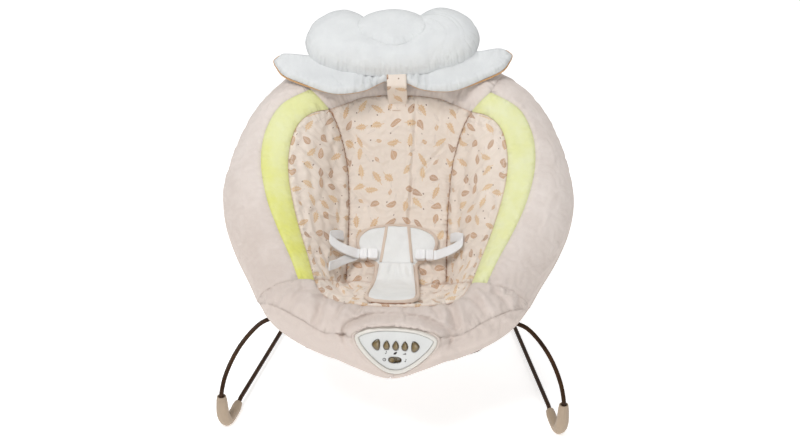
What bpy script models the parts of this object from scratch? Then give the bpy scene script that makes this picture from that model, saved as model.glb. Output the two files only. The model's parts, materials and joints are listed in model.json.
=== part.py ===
"""Baby rocker: a padded bucket seat on a bent-rod frame that bounces above its floor hoop."""

import math

import bmesh
import bpy
import numpy as np
from mathutils import Vector

# Driving dimensions, in metres
GAP = 0.0003
PLAN_SHIFT = -0.2094
PAD_TILT = math.radians(39)
PAD_FOOT = (-0.080, 0.150)
PAD_HALF_WIDTH = 0.273
BOWL_DEPTH = 0.109
LIP_HEIGHT = 0.041
CENTRE_SEAM = 0.078
ROLL_WIDTH = 0.048
ROLL_DROP = 0.050
BACK_LEVEL = -0.068
COVER_THICK = 0.0025
COVER_GAP = 0.0009
ROD_RADIUS = 0.0035
SOCKET_RADIUS = 0.00365
FOOT_HALF_SPREAD = 0.2595
HINGE_HEIGHT = 0.046
HUB = (0.158, 0.124, 0.150)
HOOP_BACK = 0.492
SOLE_HEIGHT = 0.0072
FLOOR_ROD_HEIGHT = 0.0105
UNIT_CENTRE = (-0.0653, 0.1939)
UNIT_TILT = math.radians(20.7)
UNIT_DEPTH = 0.040
HOUSING_WALL = 0.0022
UNIT_ASIDE = 0.009
UNIT_TURN = math.radians(2.2)
CROSS_BAR = (-0.004, 0.143)
HEAD_AXIS = (0.478, 0.002)
HEAD_ASIDE = -0.013
WEBBING = 0.016
STRAP_THICK = 0.0016

for thing in list(bpy.data.objects):
    bpy.data.objects.remove(thing, do_unlink=True)


# Materials
def paint(name, colour, rough, metal=0.0):
    stuff = bpy.data.materials.new(name)
    stuff.use_nodes = True
    shader = stuff.node_tree.nodes["Principled BSDF"]
    shader.inputs["Base Color"].default_value = (*colour, 1.0)
    shader.inputs["Roughness"].default_value = rough
    shader.inputs["Metallic"].default_value = metal
    stuff.diffuse_color = (*colour, 1.0)
    return stuff


VELOUR = paint("velour_beige", (0.68, 0.60, 0.56), 0.95)
LIME = paint("velour_lime", (0.66, 0.78, 0.22), 0.95)
PRINT = paint("cream_print", (0.80, 0.66, 0.55), 0.9)
WHITE_CLOTH = paint("white_fleece", (0.84, 0.86, 0.87), 0.95)
LINING = paint("lining", (0.60, 0.54, 0.50), 0.95)
WEB = paint("white_webbing", (0.85, 0.85, 0.85), 0.85)
BROWN_STEEL = paint("brown_steel", (0.045, 0.018, 0.007), 0.35)
TAUPE = paint("taupe_plastic", (0.48, 0.38, 0.31), 0.5)
DARK_PLASTIC = paint("dark_plastic", (0.10, 0.085, 0.075), 0.6)
RUBBER = paint("rubber", (0.12, 0.11, 0.10), 0.8)
WHITE_PLASTIC = paint("white_plastic", (0.86, 0.86, 0.86), 0.4)
CREAM_PLASTIC = paint("cream_plastic", (0.80, 0.76, 0.70), 0.4)
FACE_PLASTIC = paint("face_plastic", (0.70, 0.70, 0.72), 0.4)
OLIVE = paint("olive_button", (0.16, 0.10, 0.04), 0.25)
STEEL = paint("bright_steel", (0.60, 0.60, 0.60), 0.3, 1.0)
BOARD = paint("circuit_board", (0.03, 0.20, 0.08), 0.6)
CELL = paint("cell_sleeve", (0.10, 0.12, 0.16), 0.4)


# Building blocks
def make(name, points, faces, stuff, pivot=(0.0, 0.0, 0.0), sharp=40):
    """One closed named body with its origin at the pivot."""
    base = Vector(pivot)
    form = bmesh.new()
    corners = [form.verts.new(Vector(p) - base) for p in points]
    for face in faces:
        form.faces.new([corners[i] for i in face])
    bmesh.ops.recalc_face_normals(form, faces=form.faces)
    mesh = bpy.data.meshes.new(name)
    form.to_mesh(mesh)
    form.free()
    mesh.materials.append(stuff)
    mesh.shade_smooth()
    mesh.set_sharp_from_angle(angle=math.radians(sharp))
    body = bpy.data.objects.new(name, mesh)
    body.location = base + Vector((0.0, PLAN_SHIFT, 0.0))
    bpy.context.scene.collection.objects.link(body)
    return body


def cut(body, cutter):
    """Take the cutter's shape out of the body."""
    cutter.hide_render = True
    cutter.display_type = "WIRE"
    step = body.modifiers.new("cut_" + cutter.name, "BOOLEAN")
    step.operation = "DIFFERENCE"
    step.solver = "EXACT"
    step.object = cutter


def stack(rings, closed=False):
    """Points and faces of rings of equal length joined in order, with both ends capped."""
    count = len(rings[0])
    points = [p for ring in rings for p in ring]
    faces = []
    spans = len(rings) if closed else len(rings) - 1
    for i in range(spans):
        a = i * count
        b = ((i + 1) % len(rings)) * count
        for k in range(count):
            n = (k + 1) % count
            faces.append((a + k, a + n, b + n, b + k))
    if not closed:
        faces.append(tuple(range(count)))
        faces.append(tuple(range(len(points) - count, len(points))))
    return points, faces


def smooth_path(points, per=6, closed=False):
    """Rounded line through the points."""
    line = [Vector(p) for p in points]
    if closed:
        line = [line[-1], *line, line[0], line[1]]
    else:
        line = [line[0] * 2 - line[1], *line, line[-1] * 2 - line[-2]]
    out = []
    for i in range(1, len(line) - 2):
        a, b, c, d = line[i - 1 : i + 3]
        for k in range(per):
            t = k / per
            rise = (c - a) * t
            bend = (a * 2 - b * 5 + c * 4 - d) * t * t
            out.append((b * 2 + rise + bend + (b * 3 - a - c * 3 + d) * t**3) / 2)
    if not closed:
        out.append(line[-2])
    return out


def frames(path, up=(0.0, 0.0, 1.0)):
    """Two cross directions at each point of the path, turned with it."""
    along = []
    for i, p in enumerate(path):
        before = path[max(i - 1, 0)]
        after = path[min(i + 1, len(path) - 1)]
        along.append((after - before).normalized())
    side = along[0].cross(Vector(up))
    if side.length < 0.1:
        side = along[0].cross(Vector((1.0, 0.0, 0.0)))
    side.normalize()
    out = []
    for direction in along:
        side = (side - direction * side.dot(direction)).normalized()
        out.append((side, direction.cross(side)))
    return out


def circle(centre, pair, radius, sides, floor=None):
    ring = []
    for k in range(sides):
        a = 2 * math.pi * k / sides
        p = centre + pair[0] * (radius * math.cos(a)) + pair[1] * (radius * math.sin(a))
        if floor is not None:
            p.z = max(p.z, floor)
        ring.append(p)
    return ring


def rod(name, path, radius, stuff, sides=10, bores=((0, 0), (0, 0)), pivot=(0, 0, 0), floor=None):
    """A bent rod of one radius or of a list of radii, with a blind bore in either end."""
    path = [Vector(p) for p in path]
    pairs = frames(path)
    radii = radius if isinstance(radius, list) else [radius] * len(path)
    rings = [circle(p, q, r, sides, floor) for p, q, r in zip(path, pairs, radii)]
    for end, (bore, depth) in zip((0, -1), bores):
        if not bore:
            continue
        inner = path[1] if end == 0 else path[-2]
        into = (inner - path[end]).normalized()
        mouth = circle(path[end], pairs[end], bore, sides)
        deep = circle(path[end] + into * depth, pairs[end], bore, sides)
        rings = [deep, mouth, *rings] if end == 0 else [*rings, mouth, deep]
    return make(name, *stack(rings), stuff, pivot)


def sleeve(name, path, outer, inner, stuff, sides=12):
    """A tube open at both ends."""
    path = [Vector(p) for p in path]
    pairs = frames(path)
    rings = [circle(p, q, outer, sides) for p, q in zip(path, pairs)]
    rings += [circle(p, q, inner, sides) for p, q in reversed(list(zip(path, pairs)))]
    return make(name, *stack(rings, closed=True), stuff)


def turned(name, base, axis, profile, stuff, sides=20, pivot=(0, 0, 0)):
    """A round body: the profile lists radius and height along the axis."""
    axis = Vector(axis).normalized()
    base = Vector(base)
    side = axis.cross(Vector((0.0, 0.0, 1.0)))
    if side.length < 0.1:
        side = axis.cross(Vector((1.0, 0.0, 0.0)))
    side.normalize()
    pair = (side, axis.cross(side))
    rings = [circle(base + axis * high, pair, wide, sides) for wide, high in profile]
    return make(name, *stack(rings), stuff, pivot)


def grown(outline, by):
    """A convex outline moved outwards by a distance."""
    out = []
    count = len(outline)
    for i, (x, y) in enumerate(outline):
        ax, ay = outline[i - 1]
        bx, by_ = outline[(i + 1) % count]
        tx, ty = bx - ax, by_ - ay
        size = math.hypot(tx, ty)
        out.append((x + ty / size * by, y - tx / size * by))
    return out


class Place:
    """A local frame: u to the right, v up, w out of the face."""

    def __init__(self, origin, u, v, w):
        self.origin, self.u, self.v, self.w = Vector(origin), Vector(u), Vector(v), Vector(w)

    def at(self, u, v, w):
        return self.origin + self.u * u + self.v * v + self.w * w


def prism(name, where, outline, levels, stuff, pivot=(0, 0, 0), sharp=40):
    """An outline raised through levels, each a height with the growth of the outline there."""
    rings = []
    for high, growth in levels:
        shape = grown(outline, growth) if growth else outline
        rings.append([where.at(u, v, high) for u, v in shape])
    return make(name, *stack(rings), stuff, pivot, sharp)


def oval(u, v, half_u, half_v, sides=20, power=2.0):
    out = []
    for k in range(sides):
        a = 2 * math.pi * k / sides
        c, s = math.cos(a), math.sin(a)
        out.append(
            (
                u + half_u * math.copysign(abs(c) ** (2 / power), c),
                v + half_v * math.copysign(abs(s) ** (2 / power), s),
            )
        )
    return out


def shifted(outline, u, v):
    return [(a + u, b + v) for a, b in outline]


def closed_outline(points, per=3):
    return [(p.x, p.y) for p in smooth_path([(x, y, 0) for x, y in points], per, closed=True)]


# The pad as heights above a tilted plane: x across, s up the plane, h out of it
ALONG = (math.cos(PAD_TILT), math.sin(PAD_TILT))
OUT = (-math.sin(PAD_TILT), math.cos(PAD_TILT))
RIM_HALF = [
    (0.0, 0.014),
    (0.050, 0.028),
    (0.100, 0.049),
    (0.145, 0.069),
    (0.178, 0.092),
    (0.200, 0.122),
    (0.219, 0.160),
    (0.245, 0.210),
    (0.265, 0.262),
    (PAD_HALF_WIDTH, 0.315),
    (0.266, 0.368),
    (0.251, 0.418),
    (0.228, 0.465),
    (0.193, 0.506),
    (0.150, 0.532),
    (0.080, 0.549),
    (0.0, 0.553),
]
PAD_MIDDLE = 0.300
FLOOR_LINE = [
    (0.000, 0.022),
    (0.040, 0.033),
    (0.075, LIP_HEIGHT),
    (0.095, 0.034),
    (0.1131, 0.0126),
    (0.1407, -0.0329),
    (0.1676, -0.0791),
    (0.1860, -0.1010),
    (0.2050, -BOWL_DEPTH),
    (0.240, -BOWL_DEPTH),
    (0.300, -0.104),
    (0.370, -0.092),
    (0.430, -0.068),
    (0.480, -0.035),
    (0.520, -0.008),
    (0.553, 0.000),
]
WALL_LINE = [(0.0, 0.022), (0.090, 0.026), (0.150, 0.014), (0.250, 0.0), (0.400, -0.004), (0.553, -0.002)]
UNDER_LINE = [
    (0.000, -0.040),
    (0.060, -0.028),
    (0.095, -0.026),
    (0.125, -0.050),
    (0.155, -0.088),
    (0.185, -0.117),
    (0.210, -BOWL_DEPTH - 0.016),
    (0.240, -BOWL_DEPTH - 0.016),
    (0.300, -0.120),
    (0.370, -0.108),
    (0.430, -0.086),
    (0.480, -0.072),
    (0.520, BACK_LEVEL),
    (0.553, BACK_LEVEL),
]
RIM_UNDER = [(0.0, -0.040), (0.090, -0.041), (0.150, -0.054), (0.230, BACK_LEVEL), (0.553, BACK_LEVEL)]


def on_pad(x, s, h):
    return Vector((x, PAD_FOOT[0] + s * ALONG[0] + h * OUT[0], PAD_FOOT[1] + s * ALONG[1] + h * OUT[1]))


def eased(knots, v):
    """Smooth value at v of a line of knots."""
    k = np.array(knots, float)
    rise = np.diff(k[:, 1]) / np.diff(k[:, 0])
    slope = np.zeros(len(k))
    for j in range(1, len(k) - 1):
        a, b = rise[j - 1], rise[j]
        slope[j] = 2 * a * b / (a + b) if a * b > 0 else 0.0
    i = int(np.clip(np.searchsorted(k[:, 0], v) - 1, 0, len(k) - 2))
    span = k[i + 1, 0] - k[i, 0]
    t = min(max((v - k[i, 0]) / span, 0.0), 1.0)
    return float(
        (2 * t**3 - 3 * t**2 + 1) * k[i, 1]
        + (t**3 - 2 * t**2 + t) * span * slope[i]
        + (-2 * t**3 + 3 * t**2) * k[i + 1, 1]
        + (t**3 - t**2) * span * slope[i + 1]
    )


def rim_line(per=12):
    first = (-RIM_HALF[1][0], RIM_HALF[1][1], 0)
    last = (-RIM_HALF[-2][0], RIM_HALF[-2][1], 0)
    line = smooth_path([first] + [(x, s, 0) for x, s in RIM_HALF] + [last], per)
    return line[per:-per]


RIM = [(p.x, p.y) for p in rim_line()]
RIM_ANGLE = [math.atan2(s - PAD_MIDDLE, x) for x, s in RIM]
RIM_RADIUS = [math.hypot(x, s - PAD_MIDDLE) for x, s in RIM]


def front(x, s):
    """Height of the pad's front face."""
    x = abs(x)
    angle = math.atan2(s - PAD_MIDDLE, x)
    inside = float(np.interp(angle, RIM_ANGLE, RIM_RADIUS)) - math.hypot(x, s - PAD_MIDDLE)
    side = math.cos(angle)
    width = ROLL_WIDTH + 0.020 * side
    drop = ROLL_DROP + 0.010 * side
    e = min(max((width - inside) / width, 0.0), 1.0)
    edge = -drop * (1 - math.sqrt(1 - e * e))
    g = wall_share(x, s)
    return eased(FLOOR_LINE, s) * (1 - g) + eased(WALL_LINE, s) * g + edge


def wall_share(x, s):
    half = float(np.interp(s, [q[1] for q in RIM], [q[0] for q in RIM]))
    crest = max(half - 0.075, 0.03)
    u = min(max((abs(x) - CENTRE_SEAM) / max(crest - CENTRE_SEAM, 0.02), 0.0), 1.0)
    return math.sin(u * math.pi / 2) ** 1.15


def back(x, s):
    """Height of the pad's back face."""
    g = wall_share(x, s)
    level = eased(UNDER_LINE, s) * (1 - g) + eased(RIM_UNDER, s) * g
    return min(level, front(x, s) - 0.010)


# Seam lines of the pad, right side; the left side mirrors them
CREASE_END = (CENTRE_SEAM, 0.186)
TOP_CORNER = (0.1125, 0.450)
STRIPE_TOP = (0.142, 0.472)
RIM_TOP = (0.166, 0.524)
SEAT_CORNER = (0.1165, 0.146)
STRIPE_FOOT = (0.1385, 0.142)
RIM_SIDE = (0.2030, 0.127)
CENTRE_LINE = [
    CREASE_END,
    (0.078, 0.225),
    (0.078, 0.275),
    (0.0795, 0.330),
    (0.085, 0.385),
    (0.098, 0.428),
    TOP_CORNER,
]
STRIPE_IN = [
    SEAT_CORNER,
    (0.130, 0.192),
    (0.1445, 0.234),
    (0.1575, 0.278),
    (0.1675, 0.324),
    (0.1690, 0.368),
    (0.1600, 0.408),
    (0.1400, 0.434),
    TOP_CORNER,
]
STRIPE_OUT = [
    STRIPE_FOOT,
    (0.154, 0.181),
    (0.175, 0.226),
    (0.1955, 0.276),
    (0.2090, 0.330),
    (0.2110, 0.376),
    (0.2030, 0.414),
    (0.1840, 0.447),
    STRIPE_TOP,
]
TOP_ARC = [(-0.1125, 0.450), (-0.076, 0.473), (-0.040, 0.480)]
TOP_ARC += [(0.0, 0.481), (0.040, 0.480), (0.076, 0.473), TOP_CORNER]
SEAT_FRONT = [(-0.1165, 0.146), (-0.103, 0.121), (-0.080, 0.106), (-0.035, 0.096), (0.0, 0.095)]
LOWER_SEAM = [(0.196, 0.117), (0.136, 0.084), (0.107, 0.067), (0.076, 0.056), (0.040, 0.050), (0.0, 0.048)]


def spread(points, count):
    """Evenly spaced points along a rounded line."""
    line = np.array([(p.x, p.y) for p in smooth_path([(x, s, 0) for x, s in points], 12)])
    run = np.concatenate([[0], np.cumsum(np.hypot(*np.diff(line, axis=0).T))])
    want = np.linspace(0, run[-1], count + 1)
    return np.stack([np.interp(want, run, line[:, 0]), np.interp(want, run, line[:, 1])], 1)


def rim_part(start, end, count):
    """Evenly spaced points of the rim between two angles, taken on the right side."""
    angles = [math.atan2(p[1] - PAD_MIDDLE, p[0]) for p in (start, end)]
    out = []
    for a in np.linspace(*angles, count + 1):
        radius = float(np.interp(a, RIM_ANGLE, RIM_RADIUS))
        out.append((radius * math.cos(a), PAD_MIDDLE + radius * math.sin(a)))
    return np.array(out)


def mirrored(line):
    return np.array(line) * [-1, 1]


ROWS = 12
centre_line = spread(CENTRE_LINE, ROWS)
stripe_in = spread(STRIPE_IN, ROWS)
stripe_out = spread(STRIPE_OUT, ROWS)
rim_side = rim_part(RIM_SIDE, RIM_TOP, ROWS)
top_arc = spread(TOP_ARC, 8)
crease = np.stack([np.linspace(-CREASE_END[0], CREASE_END[0], 9), np.full(9, CREASE_END[1])], 1)
seat_half = spread(SEAT_FRONT, 4)
seat_front = np.vstack([seat_half, mirrored(seat_half)[-2::-1]])
seat_side = spread([CREASE_END, (0.098, 0.165), SEAT_CORNER], 5)
stripe_end_top = spread([TOP_CORNER, STRIPE_TOP], 2)
stripe_end_low = spread([SEAT_CORNER, STRIPE_FOOT], 2)
bolster_top = spread([STRIPE_TOP, (0.152, 0.492), tuple(rim_side[-1])], 5)
bolster_low = spread([STRIPE_FOOT, (0.172, 0.135), tuple(rim_side[0])], 5)
band_side = np.vstack([stripe_end_top, bolster_top[1:]])
rim_crown_half = rim_part(tuple(rim_side[-1]), (0.0, 0.553), 4)
rim_crown = np.vstack([mirrored(rim_crown_half), rim_crown_half[-2::-1]])
front_top_half = np.vstack([bolster_low[::-1], stripe_end_low[-2::-1], mirrored(seat_front[:5])[1:]])
LOWER_COLUMNS = [0.196, 0.187, 0.177, 0.167, 0.156, 0.145, 0.134, 0.122, 0.098, 0.070, 0.036, 0.0]
seam_line = np.array([(p.x, p.y) for p in smooth_path([(x, s, 0) for x, s in LOWER_SEAM], 12)])[::-1]
lower_half = np.array([(x, np.interp(x, seam_line[:, 0], seam_line[:, 1])) for x in LOWER_COLUMNS])
low_rim = np.array([p for p in RIM if p[1] < 0.125])
rim_columns = [x * 0.975 for x in LOWER_COLUMNS]
rim_low_half = np.array([(x + 0.0005, np.interp(x, low_rim[:, 0], low_rim[:, 1])) for x in rim_columns])


def coons(low, high, left, right):
    """Grid between four edges: low and high run across, left and right run up."""
    low, high, left, right = (np.array(e, float) for e in (low, high, left, right))
    u = np.linspace(0, 1, len(low))[None, :, None]
    v = np.linspace(0, 1, len(left))[:, None, None]
    flat = (1 - v) * low[None] + v * high[None] + (1 - u) * left[:, None] + u * right[:, None]
    corners = (
        (1 - u) * (1 - v) * low[0] + u * (1 - v) * low[-1] + (1 - u) * v * high[0] + u * v * high[-1]
    )
    return flat - corners


def between(start, end, count):
    return np.linspace(start, end, count + 1)


def inset(grid, by):
    """The grid with its border moved in, so that neighbours keep a gap at the seam."""
    out = grid.copy()
    middle = grid[1:-1, 1:-1].reshape(-1, 2).mean(axis=0)
    rows, cols = grid.shape[:2]
    border = [(0, j) for j in range(cols)] + [(i, cols - 1) for i in range(1, rows)]
    border += [(rows - 1, j) for j in range(cols - 2, -1, -1)] + [(i, 0) for i in range(rows - 2, 0, -1)]
    line = np.array([grid[i, j] for i, j in border])
    area = np.sum(line[:, 0] * np.roll(line[:, 1], -1) - np.roll(line[:, 0], -1) * line[:, 1])
    turn = 1.0 if area > 0 else -1.0
    count = len(border)
    for k, (i, j) in enumerate(border):
        before = line[k] - line[k - 1]
        after = line[(k + 1) % count] - line[k]
        n1 = np.array([-before[1], before[0]]) / max(np.hypot(*before), 1e-9) * turn
        n2 = np.array([-after[1], after[0]]) / max(np.hypot(*after), 1e-9) * turn
        total = n1 + n2
        size = max(np.hypot(*total), 1e-6)
        lean = total / size
        share = max(float(lean @ n1), 0.6)
        out[i, j] = grid[i, j] + lean * by / share
    return out


def border(rows, cols):
    """Numbers of a grid's edge points, in order round it."""
    ring = list(range(cols)) + [i * cols + cols - 1 for i in range(1, rows)]
    ring += [(rows - 1) * cols + j for j in range(cols - 2, -1, -1)]
    return ring + [i * cols for i in range(rows - 2, 0, -1)]


def panel(name, grid, stuff, tuck=0.0025):
    """A padded panel: the grid raised to the front face and down to the back face."""
    rows, cols = grid.shape[:2]
    shape = inset(grid, GAP / 2 + 0.00005)
    points = []
    for i in range(rows):
        for j in range(cols):
            x, s = grid[i, j]
            at_edge = i in (0, rows - 1) or j in (0, cols - 1)
            points.append(on_pad(*shape[i, j], front(x, s) - (tuck if at_edge else 0.0)))
    for i in range(rows):
        for j in range(cols):
            x, s = grid[i, j]
            points.append(on_pad(*shape[i, j], back(x, s)))
    half = rows * cols
    faces = []
    for i in range(rows - 1):
        for j in range(cols - 1):
            a, b, c, d = i * cols + j, i * cols + j + 1, (i + 1) * cols + j + 1, (i + 1) * cols + j
            faces += [(a, b, c), (a, c, d)]
            faces += [(a + half, c + half, b + half), (a + half, d + half, c + half)]
    ring = border(rows, cols)
    for k, a in enumerate(ring):
        b = ring[(k + 1) % len(ring)]
        faces.append((a, a + half, b + half, b))
    return make(name, points, faces, stuff, sharp=60)


# Panels of the pad
SIDES = (("right", 1.0), ("left", -1.0))
grids = {}
grids["back_panel"] = coons(crease, top_arc, mirrored(centre_line), centre_line)
grids["top_band"] = coons(top_arc, rim_crown, mirrored(band_side), band_side)
grids["seat_panel"] = coons(seat_front, crease, mirrored(seat_side)[::-1], seat_side[::-1])
front_low = np.vstack([mirrored(lower_half), lower_half[-2::-1]])
front_top = np.vstack([mirrored(front_top_half), front_top_half[-2::-1]])
grids["front_panel"] = coons(
    front_low,
    front_top,
    between(front_low[0], front_top[0], 3),
    between(front_low[-1], front_top[-1], 3),
)
for word, way in SIDES:
    flip = np.array([way, 1.0])
    side = coons(seat_side, np.repeat(centre_line[-1:], 6, axis=0), centre_line, stripe_in)
    side[-1] = 0.72 * side[-1] + 0.28 * side[-2]
    grids["side_panel_" + word] = side * flip
    grids["stripe_" + word] = coons(stripe_end_low, stripe_end_top, stripe_in, stripe_out) * flip
    grids["bolster_" + word] = coons(bolster_low, bolster_top, stripe_out, rim_side) * flip
    skirt = coons(
        rim_low_half,
        lower_half,
        between(rim_low_half[0], lower_half[0], 3),
        between(rim_low_half[-1], lower_half[-1], 3),
    )
    skirt[:, -1, 0] = 0.0006
    grids["front_skirt_" + word] = skirt * flip

cloth = {
    "back_panel": PRINT,
    "top_band": VELOUR,
    "seat_panel": PRINT,
    "front_panel": VELOUR,
    "side_panel": PRINT,
    "stripe": LIME,
    "bolster": VELOUR,
    "front_skirt": VELOUR,
}
panels = {}
for name, grid in grids.items():
    stuff = next(cloth[key] for key in cloth if name.startswith(key))
    panels[name] = panel(name, grid, stuff)


# The cover behind the pad, one skin that follows every panel's back face
def cover(name, names, stuff):
    index = {}
    places = []
    faces = []
    for key in names:
        grid = grids[key]
        rows, cols = grid.shape[:2]
        ids = {}
        for i in range(rows):
            for j in range(cols):
                x, s = grid[i, j]
                mark = (round(x, 5), round(s, 5))
                if mark not in index:
                    index[mark] = len(places)
                    places.append((x, s))
                ids[i, j] = index[mark]
        flip = key.endswith("left")
        for i in range(rows - 1):
            for j in range(cols - 1):
                a, b, c, d = ids[i, j], ids[i, j + 1], ids[i + 1, j + 1], ids[i + 1, j]
                for face in ((a, b, c), (a, c, d)):
                    if len(set(face)) == 3:
                        faces.append(face[::-1] if flip else face)
    count = len(places)
    points = [on_pad(x, s, back(x, s) - COVER_GAP) for x, s in places]
    points += [on_pad(x, s, back(x, s) - COVER_GAP - COVER_THICK) for x, s in places]
    edges = {}
    for a, b, c in faces:
        for pair in ((a, b), (b, c), (c, a)):
            edges[pair] = edges.get(pair, 0) + 1
    walls = [(a, b, b + count, a + count) for a, b in edges if (b, a) not in edges]
    under = [tuple(i + count for i in face[::-1]) for face in faces]
    return make(name, points, faces + under + walls, stuff, sharp=60)


cover_names = [n for n in grids if not n.startswith("front_skirt")]
rear_cover = cover("rear_cover", cover_names, LINING)

# Control unit in its own frame
unit_up = (0.0, math.sin(UNIT_TILT), math.cos(UNIT_TILT))
unit_out = (0.0, -math.cos(UNIT_TILT), math.sin(UNIT_TILT))
unit_across = Vector((1.0, 0.0, 0.0))
LEVEL = Place((UNIT_ASIDE, *UNIT_CENTRE), unit_across, unit_up, unit_out)
turn_c, turn_s = math.cos(UNIT_TURN), math.sin(UNIT_TURN)
unit_along = unit_across * turn_c - Vector(unit_up) * turn_s
UNIT = Place(
    (UNIT_ASIDE, *UNIT_CENTRE),
    unit_along,
    Vector(unit_up) * turn_c + unit_across * turn_s,
    unit_out,
)
PICK_HALF = [
    (0.000, 0.0277),
    (0.026, 0.0262),
    (0.047, 0.0208),
    (0.0595, 0.0120),
    (0.0570, 0.0000),
    (0.0470, -0.0135),
    (0.0320, -0.0275),
    (0.0150, -0.0385),
    (0.000, -0.0416),
]
pick = closed_outline(PICK_HALF[::-1] + [(-x, y) for x, y in PICK_HALF[1:-1]], 2)
prism_cutter = prism("unit_cutter", UNIT, pick, [(-0.075, 0.0012), (0.06, 0.0012)], FACE_PLASTIC)
for key in ("front_panel", "front_skirt_left", "front_skirt_right"):
    cut(panels[key], prism_cutter)
cut(rear_cover, prism_cutter)

# Bezel, with the ring open in the middle
ring_out = [(-0.0040, -0.0004), (0.0012, 0.0), (0.0036, -0.0012), (0.0046, -0.0030)]
ring_in = [(0.0040, -0.0052), (0.0026, -0.0062), (-0.0040, -0.0062)]
bezel_rings = [[UNIT.at(u, v, high) for u, v in grown(pick, by)] for high, by in ring_out + ring_in]
make("unit_bezel", *stack(bezel_rings, closed=True), CREAM_PLASTIC, sharp=50)

# Face plate with its button holes
face_outline = grown(pick, -0.0066)
face_levels = [(-0.0040, 0.0), (0.0014, 0.0), (0.0020, -0.0008)]
face = prism("unit_face", UNIT, face_outline, face_levels, FACE_PLASTIC)
ARROW = [(0.0066, 0.0), (0.0020, 0.0066), (-0.0035, 0.0074)]
ARROW += [(-0.0052, 0.0), (-0.0035, -0.0074), (0.0020, -0.0066)]
arrow = closed_outline(ARROW, 3)
DROP = [(0.0, 0.0072), (-0.0034, 0.0030), (-0.0047, -0.0018), (-0.0030, -0.0056), (0.0, -0.0066)]
drop = closed_outline(DROP + [(-x, y) for x, y in DROP[-2:0:-1]], 2)
BUTTONS = {
    "button_previous": ([(-u, v) for u, v in arrow[::-1]], -0.0277),
    "button_music": (drop, -0.0132),
    "button_nature": (drop, 0.0),
    "button_volume": (drop, 0.0132),
    "button_next": (arrow, 0.0277),
}
for name, (outline, u) in BUTTONS.items():
    here = shifted(outline, u, 0.0)
    cut(face, prism("hole_" + name, UNIT, here, [(-0.010, 0.0004), (0.010, 0.0004)], OLIVE))
    levels = [(-0.0058, 0.0), (0.0026, 0.0), (0.0036, -0.0007), (0.0040, -0.0016)]
    prism(name, UNIT, here, levels, OLIVE, pivot=UNIT.at(u, 0.0, 0.0))
SWITCH_V = -0.0208
SWITCH_TRAVEL = 0.0090
slot = oval(0.0, SWITCH_V, 0.0098, 0.0050, 24, 2.6)
cut(face, prism("hole_switch", UNIT, slot, [(-0.010, 0.0), (0.010, 0.0)], OLIVE))
knob = oval(-SWITCH_TRAVEL / 2, SWITCH_V, 0.0044, 0.0043, 20, 2.1)
knob_at = UNIT.at(-SWITCH_TRAVEL / 2, SWITCH_V, 0.0)
prism("slide_switch", UNIT, knob, [(-0.0058, 0.0), (0.0026, 0.0), (0.0034, -0.0008)], OLIVE, pivot=knob_at)

# Housing shell behind the plate
shell_levels = [(-UNIT_DEPTH, -0.003), (-UNIT_DEPTH + 0.003, 0.0), (-0.0043, 0.0)]
shell = prism("unit_housing", UNIT, grown(pick, -0.0004), shell_levels, TAUPE)
room_levels = [(-UNIT_DEPTH + HOUSING_WALL, -0.003), (0.01, 0.0)]
room = prism("housing_room", UNIT, grown(pick, -0.0004 - 0.0020), room_levels, TAUPE)
cut(shell, room)
DOOR_HALF = (0.0285, 0.0160)
DOOR_THICK = 0.0018
DOOR_V = 0.0005
door_outline = oval(0.0, DOOR_V, *DOOR_HALF, 24, 8.0)
door_hole = prism("door_hole", UNIT, grown(door_outline, 0.0004), [(-0.05, 0.0), (-0.030, 0.0)], TAUPE)
cut(shell, door_hole)
door_levels = [(-UNIT_DEPTH - 0.0012, -0.0006), (-UNIT_DEPTH - 0.0004, 0.0), (-UNIT_DEPTH + DOOR_THICK, 0.0)]
prism("battery_door", UNIT, door_outline, door_levels, TAUPE, pivot=UNIT.at(0.0, DOOR_V, -UNIT_DEPTH))

# Inside the unit
board_outline = oval(0.0, -0.002, 0.0439, 0.0209, 28, 3.0)
prism("circuit_board", UNIT, board_outline, [(-0.0100, 0.0), (-0.0084, 0.0)], BOARD)
speaker_profile = [(0.0105, 0.0), (0.0105, 0.0030), (0.0150, 0.0070), (0.0150, 0.0082)]
turned("speaker", UNIT.at(0.0, 0.0015, -0.0185), unit_out, speaker_profile, DARK_PLASTIC, 24)
CELL_RADIUS = 0.00725
CELL_PITCH = 2 * CELL_RADIUS + 0.0009
DOOR_INSIDE = -UNIT_DEPTH + DOOR_THICK
CELL_W = DOOR_INSIDE + GAP + CELL_RADIUS
CELL_PROFILE = [(0.0045, 0.0), (0.0068, 0.0006), (CELL_RADIUS, 0.0012)]
CELL_PROFILE += [(CELL_RADIUS, 0.0478), (0.0028, 0.0484), (0.0028, 0.0500)]
turned("cell_upper", UNIT.at(-0.0250, 0.0062, CELL_W), unit_along, CELL_PROFILE, CELL, 18)
lower_profile = [(r, 0.0500 - z) for r, z in CELL_PROFILE[::-1]]
turned("cell_lower", UNIT.at(-0.0250, 0.0062 - CELL_PITCH, CELL_W), unit_along, lower_profile, CELL, 18)
MOTOR_RADIUS = 0.0050
MOTOR_LENGTH = 0.0110
motor_at = UNIT.at(0.0300, 0.0060, -UNIT_DEPTH + HOUSING_WALL + GAP + MOTOR_RADIUS)
motor_profile = [(MOTOR_RADIUS, 0.0), (MOTOR_RADIUS, MOTOR_LENGTH)]
turned("vibration_motor", motor_at, unit_along, motor_profile, STEEL, 18)
weight_radius = MOTOR_RADIUS - 0.0005
weight_angles = np.linspace(-1.7, 1.7, 14)
weight_outline = [(weight_radius * math.cos(a), weight_radius * math.sin(a)) for a in weight_angles]
weight_at = motor_at + unit_along * (MOTOR_LENGTH + GAP)
weight_place = Place(weight_at, -UNIT.v, UNIT.w, unit_along)
prism("eccentric_weight", weight_place, weight_outline, [(0.0, 0.0), (0.0045, 0.0)], STEEL, pivot=motor_at)

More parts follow.
